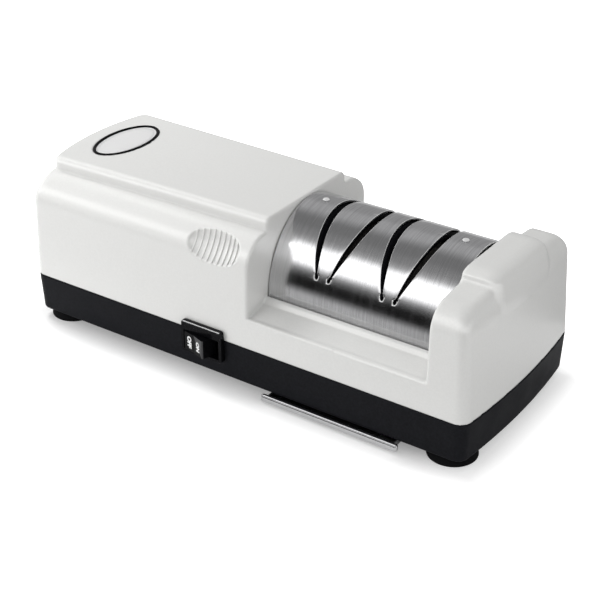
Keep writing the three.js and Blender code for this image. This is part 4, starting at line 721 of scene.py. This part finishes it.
def hood():
    """A grid of rows over the arch and columns along the slots, thickened into a sheet."""
    low_eye = EYE_MIDDLE - EYE_HALF[1]
    heights = [SKIRT_LOW + SKIRT_STEP * k for k in range(SKIRT_ROWS)]
    angles = [math.degrees(math.asin((low_eye + d - HOOD_FOOT) / HOOD_RISE)) for d in EYE_ROWS]
    coarse = [a for a in np.arange(0, 90.1, ARCH_STEP)
              if a < angles[0] - ARCH_CLEAR or a > angles[-1] + ARCH_CLEAR]
    rising = sorted(angles + coarse)
    front = [(-HOOD_HALF, h) for h in heights]
    front += [(-HOOD_HALF * math.cos(math.radians(a)), HOOD_FOOT + HOOD_RISE * math.sin(math.radians(a)))
              for a in rising]
    rows = front + [(-y, h) for y, h in front[-2::-1]]
    kinds = sum((["sheet"] * columns + ["gap"] * GAP_COLUMNS for columns in SHEET_COLUMNS), [])
    kinds = kinds[:-GAP_COLUMNS]
    points, faces = [], []
    for y, h in rows:
        line = []
        start = HOOD_LEFT
        for columns, slot in zip(SHEET_COLUMNS, SLOTS + [None]):
            if slot is None:
                end, half = HOOD_RIGHT, 0
            else:
                half = slot_half(h) if h >= low_eye - 1e-6 else min(0.3, (low_eye - h) * 0.5)
                end = slot_middle(slot, max(h, low_eye)) - half
            line += [start + (end - start) * c / columns for c in range(columns)]
            if slot is not None:
                line += [end + 2 * half * c / GAP_COLUMNS for c in range(GAP_COLUMNS)]
                start = end + 2 * half
        points.extend((x, y, h) for x in line + [HOOD_RIGHT])
    width = len(kinds) + 1
    for r in range(len(rows) - 1):
        open_here = max(rows[r][1], rows[r + 1][1]) > low_eye + 1e-6
        for c, kind in enumerate(kinds):
            if kind == "gap" and open_here:
                continue
            a = r * width + c
            faces.append((a, a + 1, a + width + 1, a + width))
    sheet = mesh_object("hood_sheet", points, faces, materials["brushed_steel"])
    weld = sheet.modifiers.new("weld", "WELD")
    weld.merge_threshold = 0.00001
    thick = sheet.modifiers.new("thickness", "SOLIDIFY")
    thick.thickness = HOOD_SHEET * MM
    thick.offset = -1
    edge = sheet.modifiers.new("edge", "BEVEL")
    edge.width = HOOD_BRIGHT_EDGE * MM
    edge.segments = 3
    edge.limit_method = "ANGLE"
    edge.angle_limit = math.radians(50)
    # The bevelled edges take the light rivet steel: bright cut metal and a painted highlight
    sheet.data.materials.append(materials["rivet_and_highlight_steel"])
    edge.material = 1
    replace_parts(sheet, "steel_cover")


def eye_rim_highlights():
    """Thin raised tubes of light steel round the lower half of each slot's eye, at the front and the back: a
    painted highlight on the eye's lower rim.
    """
    sides, steps, thick = 8, 16, 0.2
    points, faces = [], []
    for side in (-1, 1):
        for slot in SLOTS:
            middle = slot_middle(slot, SLOT_FLOOR)
            start = len(points)
            for a in np.radians(np.linspace(-190, 10, steps)):
                x = middle + (EYE_HALF[0] + EYE_RIM) * math.cos(a)
                h = EYE_MIDDLE + (EYE_HALF[1] + EYE_RIM) * math.sin(a)
                rise = (h - HOOD_FOOT) / HOOD_RISE
                lean = math.sqrt(1 - rise * rise)
                out = Vector((0, side * lean / HOOD_HALF, rise / HOOD_RISE)).normalized()
                at = Vector((x, side * HOOD_HALF * lean, h))
                along = Vector((-math.sin(a), 0, math.cos(a)))
                along = (along - out * along.dot(out)).normalized()
                across = out.cross(along)
                for k in range(sides):
                    t = 2 * math.pi * k / sides
                    points.append(tuple(at + (across * math.cos(t) + out * math.sin(t)) * thick))
            for r in range(steps - 1):
                for k in range(sides):
                    n = (k + 1) % sides
                    a, b = start + r * sides, start + (r + 1) * sides
                    faces.append((a + k, a + n, b + n, b + k))
            faces.append(tuple(start + k for k in range(sides))[::-1])
            faces.append(tuple(start + (steps - 1) * sides + k for k in range(sides)))
    mesh_object("slot_eye_rim_highlights", points, faces, materials["rivet_and_highlight_steel"])


def lathe(name, profile, at, material, steps):
    """Radius and height pairs turned about the vertical through a point."""
    points, faces = [], []
    for radius, height in profile:
        for k in range(steps):
            angle = 2 * math.pi * k / steps
            p = (radius * math.cos(angle), radius * math.sin(angle), height)
            points.append(tuple(a + b for a, b in zip(p, at)))
    for r in range(len(profile) - 1):
        for k in range(steps):
            n = (k + 1) % steps
            faces.append((r * steps + k, r * steps + n, (r + 1) * steps + n, (r + 1) * steps + k))
    faces.append(tuple(range(steps))[::-1])
    faces.append(tuple((len(profile) - 1) * steps + k for k in range(steps)))
    return mesh_object(name, points, faces, materials[material])


def rounded_turn(corners, radius, steps=5):
    """A turned profile with each inner corner rounded."""
    out = [corners[0]]
    for before, here, after in zip(corners, corners[1:], corners[2:]):
        b, h, a = Vector(before), Vector(here), Vector(after)
        reach = min(radius, (b - h).length / 2, (a - h).length / 2)
        start, end = h + (b - h).normalized() * reach, h + (a - h).normalized() * reach
        for k in range(steps + 1):
            t = k / steps
            out.append(tuple(start * (1 - t) ** 2 + h * 2 * t * (1 - t) + end * t * t))
    out.append(corners[-1])
    return out


FOOT_SECTION = [(1.9, 5.2), (10.5, 5.2), (12.5, 1.1), (12.5, 0.0), (5.0, 0.0), (5.0, 2.4), (1.9, 2.4)]
RIVETS = ((20.3, "cover_rivet_left"), (98.8, "cover_rivet_right"))
RIVET_SEAT = 89.7
DOME_RADIUS, DOME_HEIGHT = 1.75, 0.6
SHANK_RADIUS, SHANK_LENGTH = 1.45, 5.0


def feet():
    """Four rubber feet, hollow round their screws."""
    for index, (x, y) in enumerate(FOOT_CORNERS):
        profile = rounded_turn(FOOT_SECTION, 0.5)
        foot = lathe(f"foot_pad_{index + 1}", profile, (x, y, 0), "rubber", 72)
        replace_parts(foot, f"foot_{index + 1}")


def rivets():
    """Two dome rivets on the hood's crest."""
    for x, node in RIVETS:
        dome = [(DOME_RADIUS * math.cos(a), DOME_HEIGHT * math.sin(a))
                for a in np.linspace(0, math.pi / 2, 9)]
        profile = [(SHANK_RADIUS, -SHANK_LENGTH), (SHANK_RADIUS, 0.0), (1.7, 0.0)]
        profile += dome[:-1] + [(0.05, DOME_HEIGHT)]
        rivet = lathe(node + "_dome", profile, (x, 0, RIVET_SEAT), "rivet_and_highlight_steel", 40)
        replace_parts(rivet, node)


BADGE_FLOOR = CROWN_TOP - 0.9
BADGE_THICK = 0.6


def badge():
    """Bare oval plate, slightly domed, in its dark ring."""
    floor, top = BADGE_FLOOR, BADGE_FLOOR + BADGE_THICK
    steps = 120

    def oval(inset, height):
        return [(BADGE[0] + (BADGE[1] - inset) * math.cos(a), (BADGE[2] - inset) * math.sin(a), height)
                for a in np.linspace(0, 2 * math.pi, steps, endpoint=False)]

    def stack(name, rings, material, node, closed):
        points = [p for ring in rings for p in ring]
        faces = []
        count = len(rings)
        for r in range(count if closed else count - 1):
            nxt = (r + 1) % count
            for k in range(steps):
                n = (k + 1) % steps
                faces.append((r * steps + k, r * steps + n, nxt * steps + n, nxt * steps + k))
        if not closed:
            faces.append(tuple(range(steps))[::-1])
            faces.append(tuple((count - 1) * steps + k for k in range(steps)))
        piece = mesh_object(name, points, faces, materials[material])
        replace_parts(piece, node)

    plate = [oval(0, floor), oval(0, top - 0.1), oval(0.1, top)]
    plate += [oval(1.2, top), oval(1.3, top - 0.12), oval(1.6, top - 0.12), oval(1.7, top)]
    plate += [oval(3 + k, top + 0.02 * k) for k in range(8)]
    stack("badge_face", plate, "badge_silver", "badge_plate", False)
    ring = [oval(0.6, top - 0.06), oval(0.5, top + 0.3), oval(0.1, top + 0.7), oval(-0.9, top + 0.7),
            oval(-1.25, top + 0.45), oval(-1.25, floor), oval(-0.1, floor), oval(-0.1, top - 0.06)]
    stack("badge_rim", ring[::-1], "gloss_black", "badge_ring", True)


ROCKER_PIVOT = (-16.85, -47.2, 21.2)
ROCKER_TURN = -15
# Word, the two ends of its face seen from above before the turn, and its height
LEGENDS = (("ON", (0.0, -12.05), (6.9, -12.5), 3.5), ("OFF", (-6.9, -12.5), (0.0, -12.05), 3.8))
INK_RISE, INK_THICK, INK_SPREAD = 0.02, 0.03, 0.22


def legends():
    """ON and OFF on the two halves of the rocker, reading downward."""
    f = Finish("legend_white", (0.85, 0.85, 0.85), 0.5)
    f.vary(f.noise(900, 2), (0.7, 0.7, 0.7), 0.5, 0.8)
    f.gloss(f.noise(200, 2), 0.05)
    paint = f.done()
    turn = Matrix.Rotation(math.radians(ROCKER_TURN), 3, "Z")
    for word, start, end, size in LEGENDS:
        a, b = Vector((*start, 0)), Vector((*end, 0))
        along = (turn @ (b - a)).normalized()
        down = Vector((0, 0, -1))
        out = down.cross(along)
        middle = Vector(ROCKER_PIVOT) + turn @ ((a + b) / 2) + out * INK_RISE
        data = bpy.data.curves.new("legend_" + word.lower(), "FONT")
        data.body = word
        data.align_x = "CENTER"
        data.align_y = "CENTER"
        data.size = size * MM
        data.extrude = INK_THICK * MM
        data.offset = INK_SPREAD * MM
        data.resolution_u = 4
        data.materials.append(paint)
        obj = bpy.data.objects.new("legend_" + word.lower(), data)
        scene.collection.objects.link(obj)
        basis = Matrix((down, along, out)).transposed().to_4x4()
        obj.matrix_world = Matrix.Translation(middle * MM) @ basis
        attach(obj, "rocker")


# Light metal bead on the switch bezel's top front edge: a painted highlight
BEAD_RADIUS = 0.32
# How far the bead stays inside the bezel's ends, front and top
BEAD_SHORT, BEAD_BACK, BEAD_DROP = 0.9, 0.14, 0.42
BEAD_PITCH, LIP_PITCH = 0.1, 0.3
LIP_MIDDLE, LIP_HALF = (59.4, -56.4, 3.5), (39.3, 1.25, 1.85)
LIP_ROUND, LIP_ENDS = 0.7, 1.2
FACET_FRONT, FACET_UP, FACET_DEPTH = 0.86, 0.5, 0.62


def bezel_highlight_strip():
    """A light metal bead along the top front edge of the switch bezel: a painted highlight on that edge."""
    low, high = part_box("switch_housing")
    left, right = low[0] / MM + BEAD_SHORT, high[0] / MM - BEAD_SHORT
    front, top = low[1] / MM + BEAD_BACK, high[2] / MM - BEAD_DROP
    middle, half = ((left + right) / 2, front, top), ((right - left) / 2, BEAD_RADIUS, BEAD_RADIUS)

    def bead(x, y, z):
        across = np.hypot(y - front, z - top) - BEAD_RADIUS
        return meet(across, np.abs(x - middle[0]) - half[0], 0.2)

    span = [(m - h - 0.4, m + h + 0.4) for m, h in zip(middle, half)]
    points, faces = skin_of(bead, [s[0] for s in span], [s[1] for s in span], BEAD_PITCH)
    mesh_object("switch_bezel_highlight", points, faces, materials["bezel_highlight_metal"])


def tray_lip():
    """Rolled front edge of the dust tray, with a bright facet along its top and rounded ends."""
    middle, half = LIP_MIDDLE, LIP_HALF

    def roll(x, y, z):
        apart = [np.abs(v - m) - h for v, m, h in zip((x, y, z), middle, half)]
        front, top = middle[1] - half[1] - y, z - middle[2] - half[2]
        facet = front * FACET_FRONT + top * FACET_UP + FACET_DEPTH
        return meet(meet(meet(apart[1], apart[2], LIP_ROUND), facet, 0.15), apart[0], LIP_ENDS)

    low = [m - h - 0.9 for m, h in zip(middle, half)]
    high = [m + h + 0.9 for m, h in zip(middle, half)]
    points, faces = skin_of(roll, low, high, LIP_PITCH)
    mesh_object("tray_lip_roll", points, faces, materials["polished_steel"], "tray")


# Finishes of the CAD nodes that show as they are
SLOT_OF = {
    "blade_guide": "black_plastic", "cord_gland": "rubber", "switch_housing": "gloss_black",
    "switch_rocker": "gloss_black", "dust_tray": "bright_steel", "rotor_core": "laminations",
    "motor_stator": "laminations", "stator_winding": "copper", "motor_bracket_left": "cast_aluminium",
    "motor_bracket_right": "cast_aluminium", "outboard_pedestal": "cast_aluminium",
    "motor_pad_left": "rubber", "motor_pad_right": "rubber", "motor_bush_left": "bronze",
    "motor_bush_right": "bronze", "outboard_bush": "bronze", "cooling_fan": "fan_plastic",
    "coarse_wheel": "coarse_grit", "fine_wheel": "fine_grit", "coarse_hub": "cast_aluminium",
    "fine_hub": "cast_aluminium", "run_capacitor": "film_box", "terminal_block": "fan_plastic",
}


def paint_rocker(node):
    """The rocker's one black plastic in two copies: the pressed half painted in shade, black, and the raised
    half painted lit, dark grey.
    """
    node.data.materials.append(materials["rocker_shaded_half"])
    node.data.materials.append(materials["rocker_lit_half"])
    turn = node.matrix_world.to_3x3()
    for face in node.data.polygons:
        if (turn @ face.normal).y < -0.8:
            left = (node.matrix_world @ face.center).x < ROCKER_PIVOT[0] * MM
            face.material_index = 1 if left else 2


SWITCH_BEVEL, NODE_BEVEL = 0.35, 0.2


def dress_nodes():
    """Finish and softened edges for every CAD node that shows."""
    for name, node in nodes.items():
        if node.hide_render:
            continue
        slot = SLOT_OF.get(name, "bright_steel")
        node.data.materials.clear()
        node.data.materials.append(materials[slot])
        if name == "switch_rocker":
            paint_rocker(node)
        clean = node.modifiers.new("flat_faces", "DECIMATE")
        clean.decimate_type = "DISSOLVE"
        clean.angle_limit = math.radians(1)
        edge = node.modifiers.new("soft_edges", "BEVEL")
        edge.width = (SWITCH_BEVEL if name.startswith("switch") else NODE_BEVEL) * MM
        edge.segments = 3
        edge.limit_method = "ANGLE"
        edge.angle_limit = math.radians(32)
        node.data.polygons.foreach_set("use_smooth", [True] * len(node.data.polygons))
        smooth = node.modifiers.new("even_shading", "WEIGHTED_NORMAL")
        smooth.keep_sharp = True


# Floor, world and lamps
FLOOR_REACH = 3.0
FLOOR_PAPER, FLOOR_SEEN = (0.75, 0.75, 0.75, 1), (0.80, 0.80, 0.80, 1)
OBJECT_REACH = (0.135, 0.054, 0)
# Light that the camera sees on the floor: low and high, and the distances or places where they hold
FLOOR_LIFT = (0, 0.5, 0.006, 0.060)
CONTACT_LIFT = (0.25, 0.50, 0, 0.012)
RIGHT_LIFT = (0, 0.24, 0.105, 0.140)
WORLD_LEFT, WORLD_RIGHT = 0.95, 0.27
# Name, place, aim, size and power in watts, in metres
LAMPS = (
    ("key", (-0.35, 0.05, 0.50), (-0.03, 0, 0.05), (0.2, 0.2), 1.45),
    ("front", (-0.54, -0.69, 0.13), (-0.03, 0, 0.05), (0.6, 0.22), 2.62),
    ("side", (1.1, -0.25, 0.42), (0, 0, 0.05), (0.8, 0.7), 3.2),
)


def math_node(tree, operation, first, second):
    """The result of two sockets under an operation."""
    node = tree.nodes.new("ShaderNodeMath")
    node.operation = operation
    tree.links.new(first, node.inputs[0])
    tree.links.new(second, node.inputs[1])
    return node.outputs[0]


def floor():
    """Pale paper; where the camera sees it, it is lifted towards white away from the machine."""
    mesh = bpy.data.meshes.new("floor")
    corners = [(x * FLOOR_REACH, y * FLOOR_REACH, 0) for x, y in ((-1, -1), (1, -1), (1, 1), (-1, 1))]
    mesh.from_pydata(corners, [], [(0, 1, 2, 3)])
    obj = bpy.data.objects.new("floor", mesh)
    scene.collection.objects.link(obj)
    f = Finish("floor_paper", FLOOR_PAPER[:3], 0.9)
    f.shader.inputs["Specular IOR Level"].default_value = 0.1
    f.gloss(f.noise(60, 2), 0.03)
    seen = f.tree.nodes.new("ShaderNodeLightPath").outputs["Is Camera Ray"]
    f.paint = f.mix(seen, FLOOR_SEEN, FLOOR_PAPER)
    side = f.tree.nodes.new("ShaderNodeSeparateXYZ")
    f.link(f.coords, side.inputs[0])
    away = f.coords
    for operation, value in (("ABSOLUTE", None), ("SUBTRACT", OBJECT_REACH), ("MAXIMUM", (0, 0, 0)),
                             ("LENGTH", None)):
        step = f.tree.nodes.new("ShaderNodeVectorMath")
        step.operation = operation
        f.link(away, step.inputs[0])
        if value:
            step.inputs[1].default_value = value
        away = step.outputs["Value" if operation == "LENGTH" else "Vector"]
    lift = f.span(away, *FLOOR_LIFT)
    for part in (f.span(away, *CONTACT_LIFT), f.span(side.outputs["X"], *RIGHT_LIFT)):
        lift = math_node(f.tree, "ADD", lift, part)
    f.shader.inputs["Emission Color"].default_value = (1, 1, 1, 1)
    f.link(math_node(f.tree, "MULTIPLY", lift, seen), f.shader.inputs["Emission Strength"])
    mesh.materials.append(f.done())


def sky():
    """Light that falls off to the right; white to the camera, to gloss and through glass."""
    world = bpy.data.worlds.new("studio")
    scene.world = world
    world.use_nodes = True
    tree = world.node_tree
    back = tree.nodes["Background"]
    back.inputs["Strength"].default_value = 1
    rays = tree.nodes.new("ShaderNodeLightPath").outputs
    white = math_node(tree, "MAXIMUM", rays["Is Camera Ray"], rays["Is Transmission Ray"])
    white = math_node(tree, "MAXIMUM", white, rays["Is Glossy Ray"])
    dome = tree.nodes.new("ShaderNodeTexCoord")
    apart = tree.nodes.new("ShaderNodeSeparateXYZ")
    fade = tree.nodes.new("ShaderNodeMapRange")
    tree.links.new(dome.outputs["Generated"], apart.inputs[0])
    tree.links.new(apart.outputs["X"], fade.inputs["Value"])
    for socket, value in (("From Min", -1), ("From Max", 1), ("To Min", WORLD_LEFT), ("To Max", WORLD_RIGHT)):
        fade.inputs[socket].default_value = value
    mix = tree.nodes.new("ShaderNodeMix")
    mix.data_type = "RGBA"
    tree.links.new(white, mix.inputs[0])
    tree.links.new(fade.outputs[0], mix.inputs[6])
    mix.inputs[7].default_value = (1, 1, 1, 1)
    tree.links.new(mix.outputs[2], back.inputs["Color"])


def lamps():
    """Soft panels, which no gloss mirrors."""
    for name, at, aim, size, power in LAMPS:
        data = bpy.data.lights.new(name, "AREA")
        data.shape = "RECTANGLE"
        data.size, data.size_y = size
        data.energy = power
        obj = bpy.data.objects.new(name, data)
        scene.collection.objects.link(obj)
        obj.visible_glossy = False
        away = Vector(at) - Vector(aim)
        obj.matrix_world = Matrix.Translation(at) @ away.to_track_quat("Z", "Y").to_matrix().to_4x4()


# Glowing cloth seen along X: place, height and tone on the floor, then angle and tone over the arch; the tone
# is its glow
CLOTH_FOOT = [(-0.105, 0.0, 0.55), (-0.19, 0.0, 0.55), (-0.27, 0.0, 0.2), (-0.42, 0.0, 0.0), (-0.8, 0.0, 0.0)]
CLOTH_ARCH = [
    (-2, 0.0), (4, 0.0), (12, 0.12), (19, 0.5), (23, 1.5), (27, 2.1), (45, 2.1), (49, 1.7), (56, 0.5),
    (65, 0.3), (73, 0.28), (82, 0.22), (98, 0.22), (107, 0.35), (115, 0.47), (132, 0.47), (141, 0.37),
    (155, 0.36), (178, 0.35),
]
CLOTH_REAR = [(0.5, 0.0, 0.6), (0.105, 0.0, 0.6)]
# Places along X with the share of the tone that the cloth on the floor keeps there
CLOTH_COLUMNS = [(-2.5, 1.2), (-0.25, 1.2), (0.0, 1.0), (0.15, 0.5), (1.8, 0.5)]
CLOTH_RISE = 0.05
CLOTH_LOWEST = 0.0015


def tunnel():
    """Glowing light and dark cloth round the machine, low at the front and up over it, that only gloss
    mirrors: painted reflections.
    """
    arch = [(-math.cos(math.radians(angle)), CLOTH_RISE + math.sin(math.radians(angle)), tone)
            for angle, tone in CLOTH_ARCH]
    profile = CLOTH_FOOT + arch + CLOTH_REAR
    points, tones = [], []
    for y, z, tone in profile:
        for x, share in CLOTH_COLUMNS:
            points.append((x, y, max(z, CLOTH_LOWEST)))
            tones.append(tone * (share if z < 0.01 else 1))
    wide = len(CLOTH_COLUMNS)
    faces = [(r * wide + c, r * wide + c + 1, (r + 1) * wide + c + 1, (r + 1) * wide + c)
             for r in range(len(profile) - 1) for c in range(wide - 1)]
    mesh = bpy.data.meshes.new("tunnel")
    mesh.from_pydata(points, [], faces)
    layer = mesh.attributes.new("tone", "FLOAT", "POINT")
    layer.data.foreach_set("value", tones)
    obj = bpy.data.objects.new("tunnel", mesh)
    scene.collection.objects.link(obj)
    cloth = Finish("tunnel_glowing_cloth", (0.0, 0.0, 0.0), 1.0)
    cloth.gloss(cloth.noise(5, 2), 0.0)
    cloth.shader.inputs["Specular IOR Level"].default_value = 0
    cloth.shader.inputs["Emission Color"].default_value = (1, 1, 1, 1)
    source = cloth.tree.nodes.new("ShaderNodeAttribute")
    source.attribute_name = "tone"
    cloth.link(source.outputs["Fac"], cloth.shader.inputs["Emission Strength"])
    mesh.materials.append(cloth.done())
    obj.visible_camera = False
    obj.visible_diffuse = False
    obj.visible_shadow = False
    obj.visible_transmission = False


shells()
grip_ribs()
hood()
eye_rim_highlights()
feet()
rivets()
badge()
bezel_highlight_strip()
tray_lip()
legends()
dress_nodes()
floor()
sky()
lamps()
tunnel()

scene.view_settings.view_transform = "Standard"
